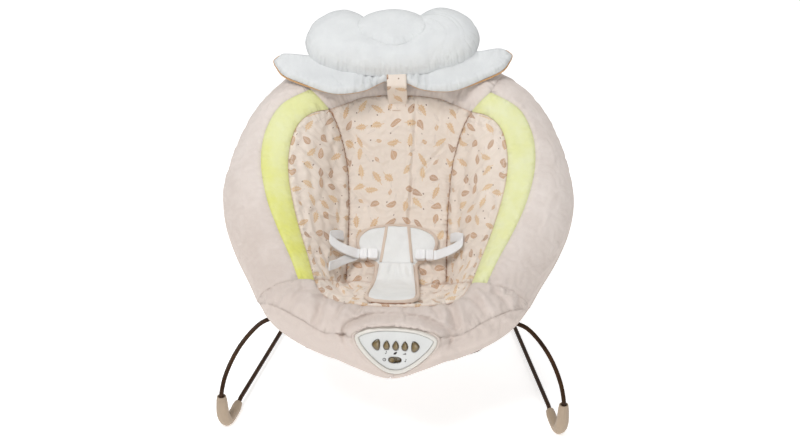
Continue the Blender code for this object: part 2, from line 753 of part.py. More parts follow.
# Clips that hold the unit on the front bar of the seat loop
bar = Vector((UNIT_ASIDE, *CROSS_BAR)) - LEVEL.origin
CROSS_V, CROSS_W = bar.dot(LEVEL.v), bar.dot(LEVEL.w)


def clip(name, u):
    """A block from the housing's back to the bar, bored for the bar."""
    arm = prism(
        name,
        LEVEL,
        oval(u, CROSS_V, 0.0050, 0.0072, 20, 5.0),
        [(CROSS_W - 0.0070, -0.0015), (CROSS_W - 0.0045, 0.0), (-UNIT_DEPTH - GAP, 0.0)],
        TAUPE,
    )
    bore = [(0.0038, 0.0), (0.0038, 0.04)]
    hole = turned("bore_" + name, LEVEL.at(u - 0.02, CROSS_V, CROSS_W), (1, 0, 0), bore, TAUPE, 16)
    cut(arm, hole)


clip("unit_clip_left", -0.018)
clip("unit_clip_right", 0.018)

# Seat frame rods
hub_x, hub_y, hub_z = HUB
LEG_X = hub_x + 0.010
LOOP_X = hub_x - 0.010
for word, way in SIDES:
    leg = [
        (FOOT_HALF_SPREAD * way, 0.0, HINGE_HEIGHT),
        (FOOT_HALF_SPREAD * way, 0.0, 0.060),
        (0.2550 * way, 0.0110, 0.082),
        (0.2460 * way, 0.0290, 0.1015),
        (0.2340 * way, 0.0450, 0.1190),
        (0.2190 * way, 0.0590, 0.1345),
        (0.2030 * way, 0.0700, 0.1460),
        (0.1860 * way, 0.0780, 0.1500),
        (LEG_X * way, 0.0900, hub_z),
        (LEG_X * way, 0.0960, hub_z),
        (LEG_X * way, 0.1060, hub_z),
        (LEG_X * way, 0.1160, hub_z),
    ]
    path = smooth_path(leg, 3)
    radii = [ROD_RADIUS] * len(path)
    ball = [
        (FOOT_HALF_SPREAD * way, 0.0, HINGE_HEIGHT - 0.0046),
        (FOOT_HALF_SPREAD * way, 0.0, HINGE_HEIGHT - 0.0030),
        (FOOT_HALF_SPREAD * way, 0.0, HINGE_HEIGHT),
        (FOOT_HALF_SPREAD * way, 0.0, HINGE_HEIGHT + 0.0028),
        (FOOT_HALF_SPREAD * way, 0.0, HINGE_HEIGHT + 0.0040),
    ]
    path = [Vector(p) for p in ball] + path[2:]
    radii = [0.0014, 0.0036, 0.0047, 0.0039, ROD_RADIUS] + radii[2:]
    rod("leg_rod_" + word, path, radii, BROWN_STEEL, 10, pivot=(0.0, 0.0, HINGE_HEIGHT))

bar_y, bar_z = CROSS_BAR
half_loop = [
    (0.020, bar_y, bar_z),
    (0.050, bar_y, bar_z),
    (0.085, bar_y, bar_z),
    (0.115, bar_y + 0.005, bar_z + 0.001),
    (0.136, 0.020, 0.1445),
    (0.145, 0.050, 0.1475),
    (LOOP_X, 0.080, hub_z),
    (LOOP_X, 0.092, hub_z),
    (LOOP_X, 0.104, hub_z),
    (LOOP_X, 0.116, hub_z),
]
seat_points = [(-x, y, z) for x, y, z in half_loop[::-1]] + half_loop
rod("seat_loop", smooth_path(seat_points, 2), ROD_RADIUS, BROWN_STEEL, 10)

LOOP_LEVEL = BACK_LEVEL - COVER_GAP - COVER_THICK - 0.0054
half_back = [
    (0.000, 0.5170, LOOP_LEVEL),
    (0.050, 0.5160, LOOP_LEVEL),
    (0.098, 0.5090, LOOP_LEVEL),
    (0.142, 0.4870, LOOP_LEVEL),
    (0.172, 0.4480, LOOP_LEVEL),
    (0.186, 0.4000, LOOP_LEVEL),
    (0.188, 0.3500, LOOP_LEVEL - 0.0010),
    (0.183, 0.3050, LOOP_LEVEL - 0.0080),
    (0.173, 0.2600, LOOP_LEVEL - 0.0260),
]
loop_right = [on_pad(*p) for p in half_back]
loop_right += [Vector((0.161, 0.190, 0.158)), Vector((hub_x, 0.168, 0.1505)), Vector((hub_x, 0.156, hub_z))]
loop_right += [Vector((hub_x, 0.144, hub_z)), Vector((hub_x, 0.132, hub_z))]
loop_left = [Vector((-p.x, p.y, p.z)) for p in loop_right[:0:-1]]
back_path = smooth_path(loop_left + loop_right, 3)
rod("back_loop", back_path, ROD_RADIUS, BROWN_STEEL, 8)

# Cloth sleeves that hold the back loop to the cover
middle = len(back_path) // 2
for word, start in (("left", middle - 14), ("top", middle - 2), ("right", middle + 10)):
    sleeve("loop_sleeve_" + word, back_path[start : start + 5], 0.0050, 0.0039, LINING)

# Side hubs that join the three rods
for word, way in SIDES:
    hub_place = Place((hub_x * way, hub_y, hub_z), (1, 0, 0), (0, 1, 0), (0, 0, 1))
    hub_outline = oval(0.0, 0.0, 0.0200, 0.0270, 32, 3.6)
    hub_half = [(0.005, 0.0), (0.0085, -0.001), (0.0115, -0.0045)]
    hub_levels = [(-level, inset) for level, inset in hub_half[::-1]] + hub_half
    hub = prism("side_hub_" + word, hub_place, hub_outline, hub_levels, TAUPE)
    sockets = (("leg", LEG_X, 0.080, 0.1180), ("seat", LOOP_X, 0.080, 0.1180), ("back", hub_x, 0.130, 0.170))
    for label, x, y0, y1 in sockets:
        profile = [(SOCKET_RADIUS, 0.0), (SOCKET_RADIUS, y1 - y0)]
        bore = turned(f"bore_{label}_{word}", (x * way, y0, hub_z), (0, 1, 0), profile, TAUPE, 16)
        cut(hub, bore)

# Floor base: front foot covers, floor rods, couplings, rear hoop and its feet
for word, way in SIDES:
    foot_line = [
        (FOOT_HALF_SPREAD * way, 0.0, 0.0560),
        (FOOT_HALF_SPREAD * way, 0.0, 0.0420),
        (0.2592 * way, 0.0, 0.0280),
        (0.2575 * way, 0.0008, 0.0170),
        (0.2545 * way, 0.0060, 0.0086),
        (0.2505 * way, 0.0160, SOLE_HEIGHT),
        (0.2465 * way, 0.0320, SOLE_HEIGHT),
        (0.2430 * way, 0.0500, FLOOR_ROD_HEIGHT),
    ]
    path = smooth_path(foot_line, 2)
    count = len(path)
    radii = [0.0076 + 0.0022 * math.sin(math.pi * min(i / (count - 1) * 1.25, 1.0)) for i in range(count)]
    radii[0] = 0.0070
    radii[-1] = 0.0064
    mouths = ((0.0053, 0.0155), (SOCKET_RADIUS, 0.0200))
    rod("front_foot_" + word, path, radii, TAUPE, 14, mouths, floor=0.0)
    end = path[-1]
    into = (path[-2] - end).normalized()
    first = end + into * 0.0190
    ahead = -into
    bend = end + ahead * 0.012
    low = Vector((0.1960 * way, 0.290, FLOOR_ROD_HEIGHT))
    sock = Vector((0.1890 * way, 0.3270, FLOOR_ROD_HEIGHT))
    line = [first, end, bend] + [bend.lerp(low, t) for t in (0.06, 0.12, 0.4, 0.7)] + [low, sock]
    rod("floor_rod_" + word, line, ROD_RADIUS, BROWN_STEEL, 10)

step = (sock - low).normalized()
joint_mid = sock + step * 0.0006
hoop_half = [
    joint_mid + step * 0.0006,
    joint_mid + step * 0.030,
    joint_mid + step * 0.060,
]
hoop_half = [Vector((abs(p.x), p.y, p.z)) for p in hoop_half]
hoop_half += [
    Vector((0.1655, 0.4350, FLOOR_ROD_HEIGHT)),
    Vector((0.1530, 0.4680, FLOOR_ROD_HEIGHT)),
    Vector((0.1290, 0.4870, FLOOR_ROD_HEIGHT)),
    Vector((0.0980, HOOP_BACK, FLOOR_ROD_HEIGHT)),
    Vector((0.0700, HOOP_BACK, FLOOR_ROD_HEIGHT)),
    Vector((0.0350, HOOP_BACK, FLOOR_ROD_HEIGHT)),
    Vector((0.0, HOOP_BACK, FLOOR_ROD_HEIGHT)),
]
hoop_all = hoop_half + [Vector((-p.x, p.y, p.z)) for p in hoop_half[-2::-1]]
rod("rear_hoop", smooth_path(hoop_all, 2), ROD_RADIUS, BROWN_STEEL, 10)
for word, way in SIDES:
    along = Vector((abs(step.x) * -way, step.y, step.z))
    here = Vector((joint_mid.x * (1 if joint_mid.x * way > 0 else -1), joint_mid.y, joint_mid.z))
    path = [here + along * t for t in (-0.022, -0.020, 0.0, 0.020, 0.022)]
    pairs = frames(path)
    rings = [circle(p, q, r, 14) for p, q, r in zip(path, pairs, (0.0056, 0.0062, 0.0066, 0.0062, 0.0056))]
    rings += [circle(p, q, SOCKET_RADIUS, 14) for p, q in reversed(list(zip(path, pairs)))]
    make("rod_coupling_" + word, *stack(rings, closed=True), TAUPE)
    path = [Vector((x * way, HOOP_BACK, FLOOR_ROD_HEIGHT)) for x in (0.052, 0.055, 0.075, 0.078)]
    pairs = frames(path)
    wide = (0.0075, 0.0100, 0.0100, 0.0075)
    rings = []
    for p, q, r in zip(path, pairs, wide):
        ring = circle(p, q, r, 18)
        for corner in ring:
            corner.z = max(corner.z, 0.0)
            if corner.z < 0.004:
                corner.z = 0.0
        rings.append(ring)
    rings += [circle(p, q, SOCKET_RADIUS, 18) for p, q in reversed(list(zip(path, pairs)))]
    make("rear_foot_" + word, *stack(rings, closed=True), RUBBER)


# Head support, its outline on the pad's plane about its own middle line
def on_head(x, s, h):
    return on_pad(x + HEAD_ASIDE, s, h)


def cushion(name, grid, low, high, thick, stuff, place, pivot=(0, 0, 0), power=0.6):
    """A puffed cushion over a grid: its back at low, its rim at high, its crown thick above that."""
    rows, cols = grid.shape[:2]
    points = []
    for i in range(rows):
        for j in range(cols):
            across = math.sin(math.pi * j / (cols - 1))
            along = math.sin(math.pi * i / (rows - 1))
            crown = thick * (max(across, 0.0) * max(along, 0.0)) ** power
            points.append(place(*grid[i, j], high + crown))
    points += [place(*grid[i, j], low) for i in range(rows) for j in range(cols)]
    half = rows * cols
    faces = []
    for i in range(rows - 1):
        for j in range(cols - 1):
            a, b, c, d = i * cols + j, i * cols + j + 1, (i + 1) * cols + j + 1, (i + 1) * cols + j
            faces += [(a, b, c), (a, c, d), (a + half, c + half, b + half), (a + half, d + half, c + half)]
    ring = border(rows, cols)
    for k, a in enumerate(ring):
        b = ring[(k + 1) % len(ring)]
        faces.append((a, a + half, b + half, b))
    return make(name, points, faces, stuff, pivot, sharp=60)


HEAD_PIVOT = on_pad(0.0, *HEAD_AXIS)
wing_low = [(0.0, 0.4790), (0.018, 0.4760), (0.045, 0.4665), (0.076, 0.4635)]
wing_low += [(0.102, 0.4665), (0.140, 0.4830), (0.171, 0.4990), (0.1850, 0.5180)]
wing_high = [(0.0, 0.5340), (0.040, 0.5350), (0.080, 0.5330)]
wing_high += [(0.124, 0.5290), (0.158, 0.5330), (0.1790, 0.5330)]
low_half = spread(wing_low, 8)
high_half = spread(wing_high, 8)
low_edge = np.vstack([mirrored(low_half)[::-1], low_half[1:]])
high_edge = np.vstack([mirrored(high_half)[::-1], high_half[1:]])
ends = [between(low_edge[k], high_edge[k], 5) for k in (0, -1)]
wing_grid = coons(low_edge, high_edge, *ends)
cushion("head_wing_pad", wing_grid, 0.0025, 0.0050, 0.0110, WHITE_CLOTH, on_head, HEAD_PIVOT, 0.5)

lobe_out = [(0.0, 0.4830), (0.042, 0.4870), (0.078, 0.4970), (0.106, 0.5080)]
lobe_out += [(0.126, 0.5220), (0.1350, 0.5400), (0.1365, 0.5580), (0.1280, 0.5790)]
lobe_out += [(0.1060, 0.5960), (0.0820, 0.6040), (0.0620, 0.6020), (0.0490, 0.5960)]
lobe_in = [(0.0, 0.5262), (0.016, 0.5285), (0.037, 0.5380)]
lobe_in += [(0.0495, 0.5555), (0.0510, 0.5720), (0.0470, 0.5880)]
out_half = spread(lobe_out, 10)
in_half = spread(lobe_in, 10)
out_edge = np.vstack([mirrored(out_half)[::-1], out_half[1:]])
in_edge = np.vstack([mirrored(in_half)[::-1], in_half[1:]])
ends = [between(out_edge[k], in_edge[k], 6) for k in (0, -1)]
bolster_grid = coons(out_edge, in_edge, *ends)
cushion("head_bolster", bolster_grid, 0.0160, 0.0215, 0.0290, WHITE_CLOTH, on_head, HEAD_PIVOT, 0.5)

mid_low = [(-0.0500, 0.5720), (-0.0485, 0.5560), (-0.0360, 0.5395), (0.0, 0.5275)]
mid_low += [(0.0360, 0.5395), (0.0485, 0.5560), (0.0500, 0.5720)]
mid_high = [(-0.0440, 0.5900), (-0.0340, 0.5965), (0.0, 0.6010), (0.0340, 0.5965), (0.0440, 0.5900)]
low_edge = spread(mid_low, 9)
high_edge = spread(mid_high, 9)
ends = [between(low_edge[k], high_edge[k], 6) for k in (0, -1)]
centre_grid = coons(low_edge, high_edge, *ends)
cushion("head_centre_pad", centre_grid, 0.0160, 0.0200, 0.0170, WHITE_CLOTH, on_head, HEAD_PIVOT, 0.5)


def ribbon(name, line, wide, thick, stuff, across=(0.0, ALONG[0], ALONG[1])):
    """Flat webbing along a line, its width held in one direction."""
    line = [Vector(p) for p in line]
    across = Vector(across)
    rings = []
    for i, p in enumerate(line):
        ahead = (line[min(i + 1, len(line) - 1)] - line[max(i - 1, 0)]).normalized()
        flat = ahead.cross(across).normalized()
        rings.append(
            [
                p + across * (wide / 2) + flat * (thick / 2),
                p - across * (wide / 2) + flat * (thick / 2),
                p - across * (wide / 2) - flat * (thick / 2),
                p + across * (wide / 2) - flat * (thick / 2),
            ]
        )
    return make(name, *stack(rings), stuff)


strap_line = [(s, front(HEAD_ASIDE, s) + 0.0017) for s in (0.4560, 0.4640, 0.4680)]
strap_line += [(0.4712, -0.0240), (0.4718, -0.0100), (0.4720, 0.0010)]
strap_line += [(0.4736, 0.0068), (0.4782, 0.0104), (0.4812, 0.0126)]
strap_path = [on_head(0.006, s, h) for s, h in strap_line]
ribbon("head_strap", smooth_path(strap_path, 2), 0.0310, 0.0020, PRINT, (1.0, 0.0, 0.0))

# Crotch pad: narrow at the seat, with rounded wings on the back
WING_KNOTS = [
    (0.1120, 0.0410),
    (0.1500, 0.0360),
    (0.1780, 0.0335),
    (0.2150, 0.0330),
    (0.2270, 0.0470),
    (0.2370, 0.0600),
    (0.2530, 0.0645),
    (0.2670, 0.0630),
    (0.2760, 0.0550),
    (0.2810, 0.0430),
]
CROTCH_THICK = 0.0100
crotch_rows = [0.112, 0.125, 0.138, 0.151, 0.164, 0.177, 0.190, 0.203]
crotch_rows += [0.215, 0.2225, 0.2300, 0.2380, 0.2500, 0.2620, 0.2720, 0.2810]


def crotch_floor(s):
    lift = 0.0015 + 0.0035 * math.exp(-(((s - 0.188) / 0.030) ** 2))
    return front(0.0, s) + lift


crotch_grid = np.array([[(eased(WING_KNOTS, s) * u, s) for u in np.linspace(-1, 1, 9)] for s in crotch_rows])
rows, cols = crotch_grid.shape[:2]
points = []
for i in range(rows):
    for j in range(cols):
        x, s = crotch_grid[i, j]
        edge = min(math.sin(math.pi * j / (cols - 1)), math.sin(math.pi * i / (rows - 1)) * 2.0, 1.0)
        crown = CROTCH_THICK * (0.45 + 0.55 * max(edge, 0.0) ** 0.5)
        points.append(on_pad(x, s, crotch_floor(s) + crown))
points += [on_pad(x, s, crotch_floor(s)) for x, s in crotch_grid.reshape(-1, 2)]
half = rows * cols
faces = []
for i in range(rows - 1):
    for j in range(cols - 1):
        a, b, c, d = i * cols + j, i * cols + j + 1, (i + 1) * cols + j + 1, (i + 1) * cols + j
        faces += [(a, b, c), (a, c, d), (a + half, c + half, b + half), (a + half, d + half, c + half)]
ring = border(rows, cols)
for k, a in enumerate(ring):
    b = ring[(k + 1) % len(ring)]
    faces.append((a, a + half, b + half, b))
make("crotch_pad", points, faces, WHITE_CLOTH, sharp=60)

# Waist buckles on the wings, tongues and straps
BUCKLE_S = 0.2300
BUCKLE_H = crotch_floor(BUCKLE_S) + 0.89 * CROTCH_THICK + GAP + 0.0042
for word, way in SIDES:
    here = Place(on_pad(0.0, BUCKLE_S, BUCKLE_H), (way, 0, 0), (0, *ALONG), (0, *OUT))
    block = oval(0.0370, 0.0, 0.0080, 0.0085, 20, 6.0)
    levels = [(-0.0042, -0.0012), (-0.0030, 0.0), (0.0030, 0.0), (0.0042, -0.0012)]
    housing = prism("buckle_" + word, here, block, levels, WHITE_PLASTIC)
    mouth = oval(0.0420, 0.0, 0.0105, 0.0056, 20, 10.0)
    cut(housing, prism("mouth_" + word, here, mouth, [(-0.0016, 0.0), (0.0016, 0.0)], WHITE_PLASTIC))
    blade = oval(0.0410, 0.0, 0.0088, 0.0052, 20, 10.0)
    tongue_at = here.at(0.0454, 0.0, 0.0)
    tongue = prism("tongue_" + word, here, blade, [(-0.0012, 0.0), (0.0012, 0.0)], WHITE_PLASTIC, tongue_at)
    grip_outline = oval(0.0515, 0.0, 0.0061, 0.0090, 20, 5.0)
    grip_levels = [(-0.0034, -0.001), (-0.002, 0.0), (0.002, 0.0), (0.0034, -0.001)]
    grip = prism("grip_" + word, here, grip_outline, grip_levels, WHITE_PLASTIC, tongue_at)
    grip.hide_render = True
    grip.display_type = "WIRE"
    join = tongue.modifiers.new("grip", "BOOLEAN")
    join.operation = "UNION"
    join.solver = "EXACT"
    join.object = grip

WAIST_LINE = [
    (0.0840, 0.2620, front(0.0840, 0.2620) + 0.0021),
    (0.0930, 0.2570, -0.0830),
    (0.1020, 0.2490, -0.0680),
    (0.1010, 0.2400, -0.0640),
    (0.0880, 0.2330, -0.0730),
    (0.0730, 0.2300, -0.0830),
    (0.0625, 0.2300, BUCKLE_H + 0.0012),
]
TAIL_LINE = [
    (0.0595, 0.2300, BUCKLE_H + 0.0002),
    (0.0605, 0.2290, BUCKLE_H - 0.0020),
    (0.0680, 0.2250, BUCKLE_H - 0.0010),
    (0.0820, 0.2130, -0.0820),
    (0.0925, 0.2000, -0.0660),
    (0.1000, 0.1900, -0.0500),
]
right_line = WAIST_LINE + [(0.0580, BUCKLE_S, BUCKLE_H)]
ribbon("waist_strap_right", smooth_path([on_pad(*p) for p in right_line], 3), WEBBING, STRAP_THICK, WEB)
left_line = [on_pad(-x, s, h) for x, s, h in WAIST_LINE + TAIL_LINE]
ribbon("waist_strap_left", smooth_path(left_line, 3), WEBBING, STRAP_THICK, WEB)
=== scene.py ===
"""Looks of the baby rocker: fabrics, harness, head support, control unit, rods, floor, light and camera."""

import math

import bmesh
import bpy
import numpy as np
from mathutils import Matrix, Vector
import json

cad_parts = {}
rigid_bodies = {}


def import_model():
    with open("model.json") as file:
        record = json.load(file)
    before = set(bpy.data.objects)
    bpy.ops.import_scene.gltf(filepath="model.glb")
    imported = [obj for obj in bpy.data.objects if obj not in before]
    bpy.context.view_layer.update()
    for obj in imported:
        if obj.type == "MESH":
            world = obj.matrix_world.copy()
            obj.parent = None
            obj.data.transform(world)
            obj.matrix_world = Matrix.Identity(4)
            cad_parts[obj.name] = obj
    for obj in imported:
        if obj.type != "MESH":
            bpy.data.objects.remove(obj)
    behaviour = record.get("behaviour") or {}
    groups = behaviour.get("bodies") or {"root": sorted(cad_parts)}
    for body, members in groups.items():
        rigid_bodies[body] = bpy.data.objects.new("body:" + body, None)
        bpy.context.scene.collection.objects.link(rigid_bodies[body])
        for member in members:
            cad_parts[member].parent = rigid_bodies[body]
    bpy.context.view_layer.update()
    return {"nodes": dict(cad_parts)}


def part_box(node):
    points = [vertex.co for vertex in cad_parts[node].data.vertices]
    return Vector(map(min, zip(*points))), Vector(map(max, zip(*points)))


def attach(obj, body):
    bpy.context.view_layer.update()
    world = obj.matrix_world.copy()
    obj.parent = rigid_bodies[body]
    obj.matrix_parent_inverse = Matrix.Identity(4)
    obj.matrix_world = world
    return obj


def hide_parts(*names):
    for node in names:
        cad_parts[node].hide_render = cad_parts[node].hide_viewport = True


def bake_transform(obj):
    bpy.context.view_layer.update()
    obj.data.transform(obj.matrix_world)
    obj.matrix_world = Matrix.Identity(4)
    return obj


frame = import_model()

# Camera at the photograph's angle
PLAN_SHIFT = -0.2094
CAM_AZIMUTH, CAM_ELEVATION = math.radians(2.5), math.radians(27.0)
CAM_DISTANCE = 2.3
CAM_TARGET = Vector((0.0057, 0.15 + PLAN_SHIFT, 0.288))
PHOTO_WIDTH, FOCAL_PIXELS, SENSOR = 800, 1500, 36.0
level = math.cos(CAM_ELEVATION)
back_dir = Vector((math.sin(CAM_AZIMUTH) * level, -math.cos(CAM_AZIMUTH) * level, math.sin(CAM_ELEVATION)))
stage = bpy.context.scene
lens = bpy.data.cameras.new("camera")
lens.sensor_width = SENSOR
lens.lens = FOCAL_PIXELS / PHOTO_WIDTH * SENSOR
lens.clip_start = 0.05
camera = bpy.data.objects.new("camera", lens)
camera.location = CAM_TARGET + back_dir * CAM_DISTANCE
camera.rotation_euler = back_dir.to_track_quat("Z", "Y").to_euler()
stage.collection.objects.link(camera)
stage.camera = camera
stage.view_settings.view_transform = "Standard"


# Node materials
class Value:
    """An output of a node that takes plain arithmetic."""

    def __init__(self, nodes, socket):
        self.nodes, self.socket = nodes, socket

    def __add__(self, other):
        return self.nodes.math("ADD", self, other)

    def __sub__(self, other):
        return self.nodes.math("SUBTRACT", self, other)

    def __rsub__(self, other):
        return self.nodes.math("SUBTRACT", other, self)

    def __mul__(self, other):
        return self.nodes.math("MULTIPLY", self, other)

    def __truediv__(self, other):
        return self.nodes.math("DIVIDE", self, other)

    def clamped(self):
        """The same value, kept between 0 and 1 by its own node."""
        self.socket.node.use_clamp = True
        return self


class Nodes:
    """Short calls for building a material's node tree."""

    def __init__(self, name, rough=0.9, **sockets):
        self.material = bpy.data.materials.new(name)
        self.material.use_nodes = True
        self.tree = self.material.node_tree
        self.shader = self.tree.nodes["Principled BSDF"]
        for key, value in {"Roughness": rough, **sockets}.items():
            self.shader.inputs[key.replace("_", " ")].default_value = value

    def feed(self, socket, value):
        if isinstance(value, Value):
            self.tree.links.new(value.socket, socket)
        elif value is not None:
            plain = socket.type == "RGBA" and len(value) == 3
            socket.default_value = (*value, 1.0) if plain else value

    def add(self, kind, inputs, out=0, **settings):
        """A new node's output, with its inputs set to numbers and colours or linked to other values."""
        node = self.tree.nodes.new("ShaderNode" + kind)
        for key, value in settings.items():
            setattr(node, key, value)
        for key, value in inputs.items():
            self.feed(node.inputs[key], value)
        return Value(self, node.outputs[out])

    def coords(self, attribute=None):
        if attribute:
            return self.add("Attribute", {}, "Vector", attribute_name=attribute)
        return self.add("TexCoord", {}, "Object")

    def math(self, kind, a, b=0.0):
        return self.add("Math", {0: a, 1: b}, operation=kind)

    def size_of(self, a):
        return self.math("ABSOLUTE", a)

    def sine(self, a, pitch):
        return self.math("SINE", a * (2 * math.pi / pitch))

    def vector(self, kind, a, b):
        return self.add("VectorMath", {0: a, 1: b}, "Vector", operation=kind)

    def split(self, vector):
        first = self.add("SeparateXYZ", {0: vector})
        return [Value(self, socket) for socket in first.socket.node.outputs]

    def turned(self, vector, angle):
        return self.add("VectorRotate", {"Vector": vector, "Angle": angle}, rotation_type="Z_AXIS")

    def noise(self, where, size, detail=2.0, rough=0.5, out="Fac"):
        inputs = {"Vector": where, "Scale": 1.0 / size, "Detail": detail, "Roughness": rough}
        return self.add("TexNoise", inputs, out)

    def cells(self, where, size, jitter):
        """Scattered points: distance from the nearest, its random colour and its place."""
        inputs = {"Vector": where, "Scale": 1.0 / size, "Randomness": jitter}
        first = self.add("TexVoronoi", inputs, "Distance", voronoi_dimensions="2D")
        return [Value(self, first.socket.node.outputs[key]) for key in ("Distance", "Color", "Position")]

    def span(self, value, low, high, to_low=0.0, to_high=1.0):
        inputs = {"Value": value, "From Min": low, "From Max": high, "To Min": to_low, "To Max": to_high}
        return self.add("MapRange", inputs, clamp=True)

    def fading(self, value, low, high):
        return self.span(value, low, high, 1.0, 0.0)

    def mix(self, share, a, b):
        return self.add("Mix", {0: share, 6: a, 7: b}, 2, data_type="RGBA")

    def bump(self, height, distance, strength=1.0, after=None):
        return self.add("Bump", {"Strength": strength, "Distance": distance, "Height": height, "Normal": after})

    def finish(self, colour, normal=None, rough=None):
        for key, value in (("Base Color", colour), ("Normal", normal), ("Roughness", rough)):
            self.feed(self.shader.inputs[key], value)
        return self.material


def wrinkles(n, size, depth, stretch, turn, seed=0.0):
    """Bump of soft creases that run one way, bent by a broad noise."""
    at = n.coords("cloth")
    bend = n.noise(n.vector("ADD", at, (seed, seed * 1.7, 0.0)), size / 0.35, 1.0, out="Color")
    shift = n.vector("MULTIPLY", bend, (size * 2.2, size * 2.2, 0.0))
    turned = n.turned(n.vector("ADD", at, shift), turn)
    wave = n.noise(n.vector("MULTIPLY", turned, (1.0, 1.0 / stretch, 1.0)), size, 2.0, 0.45)
    return n.bump(n.span(n.size_of(wave - 0.5), 0.0, 0.16), depth)


def gathers(n, pitch, reach, depth, after):
    """Bump of puckers that run in from the seams."""
    gap, near, calm = n.split(n.coords("seam"))
    wave = n.noise(n.add("CombineXYZ", {0: near, 1: gap * 0.25}), pitch, 1.0, 0.4)
    fade = n.fading(gap, 0.0, reach)
    return n.bump(n.span(wave, 0.3, 0.7) * (fade * fade * calm), depth, 1.0, after)


def painted_seam_shade(n, colour, tint, share, reach=0.004):
    """Painted shade: colour that deepens where cloth turns into a seam, standing in for the shade in the seam's
    hollow.
    """
    close = n.fading(n.split(n.coords("seam"))[0], 0.0, reach)
    return n.mix(close * close * share, colour, tint)


def shaded(colour, share):
    return tuple(c * share for c in colour)


def pile_cloth(name, light, dark, pile=0.0009, nap=0.022, depth=0.0005, crease=0.0009, shade=None, cloudy=1.0):
    """Short-pile fabric; shade gives weights of x and z, the range in which the colour turns dark, and how far."""
    sheen = {"Sheen_Weight": 0.5, "Sheen_Roughness": 0.45, "Sheen_Tint": (*light, 1.0)}
    n = Nodes(name, 0.95, Specular_IOR_Level=0.15, **sheen)
    at = n.coords()
    brushed, broad, fibre = n.noise(at, nap, 3.0, 0.6), n.noise(at, nap * 4), n.noise(at, pile, 3.0, 0.7)
    tone = (n.span(brushed * 0.55 + broad * 0.45, 0.36, 0.64) + (fibre - 0.5) * 0.5).clamped()
    tone = tone * cloudy + 0.8 * (1 - cloudy)
    # Colour darker by place along the given weights of x and z; on the beige velour this is painted shade, darker
    # towards the bottom.
    if shade:
        across, up, start, end, share = shade
        x, _, z = n.split(at)
        tone = (tone - n.span(x * across + z * up, start, end, 0.0, share)).clamped()
    # Painted shade: the pile turns darker near its seams, standing in for the shade in the seam's hollow.
    colour = painted_seam_shade(n, n.mix(tone, dark, light), shaded(dark, 0.6), 0.22)
    normal = gathers(n, 0.0075, 0.022, 0.002, wrinkles(n, 0.04, crease, 2.2, 0.5))
    normal = n.bump(fibre, depth, 1.0, n.bump(brushed, 0.0006, 1.0, normal))
    return n.finish(colour, normal, n.span(brushed, 0.3, 0.7, 0.86, 0.98))


def woven(n, where, pitch):
    """Height of a plain weave."""
    x, y, _ = n.split(where)
    return n.sine(x, pitch) * n.sine(y, pitch) * 0.5 + 0.5


def leaf_layer(n, where, cell, offset, long, wide, lobes=0.0, stem=0.0):
    """Scattered leaves: mask, edge, vein lines, stem and random numbers of each leaf."""
    moved = n.vector("ADD", where, (offset, offset * 0.7, 0.0))
    _, chance, middle = n.cells(moved, cell, 0.42)
    chance = n.split(chance)
    p, q, _ = n.split(n.turned(n.vector("SUBTRACT", moved, middle), chance[0] * (2 * math.pi)))
    t = p / long
    width = n.math("POWER", (1.0 - t * t).clamped(), 0.75) * (wide - t * (wide * 0.34))
    if lobes:
        width = width * (1.0 - n.size_of(n.sine(p, 0.0072)) * lobes)
    side = n.size_of(q)
    mask = n.span(width - side, 0.0, 0.0003)
    edge = mask * n.fading(width - side, 0.0004, 0.001)
    rib = n.fading(side, 0.00025, 0.0005)
    veins = n.span(n.sine(p - side * 0.9, 0.0024), 0.0, 0.8)
    along = n.span(t, -1.02 - stem, -1.0 - stem) * n.fading(t, -1.0, -0.9)
    return mask, edge, n.math("MAXIMUM", rib, veins), rib * along, chance


def printed_cloth(name):
    """Cream cotton printed with loose leaves, seeds and sprigs."""
    n = Nodes(name, 0.9, Sheen_Weight=0.2, Sheen_Roughness=0.5, Specular_IOR_Level=0.15)
    where = n.coords("cloth")
    colour = n.mix(n.noise(where, 0.05), (0.785, 0.682, 0.595), (0.835, 0.743, 0.662))
    umber, rust = (0.37, 0.16, 0.05), (0.52, 0.25, 0.08)
    gold, sand = (0.61, 0.32, 0.07), (0.69, 0.42, 0.14)
    layers = (
        (0.0088, 0.0048, 0.0, 0.0, umber, rust, 0.96, 0.02, 0.46),
        (0.01, 0.0062, 0.45, 0.45, gold, sand, 0.92, 0.46, 0.9),
        (0.0048, 0.0029, 0.0, 0.3, rust, gold, 0.9, 0.9, 1.1),
    )
    for long, wide, lobes, stem, dark, light, strength, first, last in layers:
        mask, edge, lines, twig, chance = leaf_layer(n, where, 0.0262, 0.0, long, wide, lobes, stem)
        ink = n.mix(chance[1], dark, light)
        shown = n.span(chance[2], first, first + 0.001) * n.fading(chance[2], last, last + 0.001)
        fill = mask * (lines * -0.5 + strength * 0.8)
        colour = n.mix(n.math("MAXIMUM", fill, edge * strength) * shown, colour, ink)
        colour = n.mix(twig * shown * 0.8, colour, ink)
    far, chance, _ = n.cells(n.vector("ADD", where, (0.31, 0.17, 0.0)), 0.03, 0.9)
    dot = n.fading(far * 0.03, 0.0009, 0.0013) * n.span(n.split(chance)[0], 0.35, 0.4)
    colour = n.mix(dot * 0.85, colour, (0.16, 0.06, 0.035))
    sprig = leaf_layer(n, where, 0.037, 0.087, 0.008, 0.0016)[1]
    colour = n.mix(sprig * 0.38, colour, (0.4, 0.33, 0.3))
    # Painted shade: the print turns brown near its seams, standing in for the shade in the creases there.
    colour = painted_seam_shade(n, colour, (0.4, 0.205, 0.11), 0.55, 0.0036)
    normal = gathers(n, 0.006, 0.026, 0.0026, wrinkles(n, 0.024, 0.0005, 3.0, 0.8, 0.3))
    normal = n.bump(n.noise(n.coords(), 0.01), 0.0004, 0.9, normal)
    return n.finish(colour, n.bump(woven(n, where, 0.0007), 0.00016, 0.8, normal))


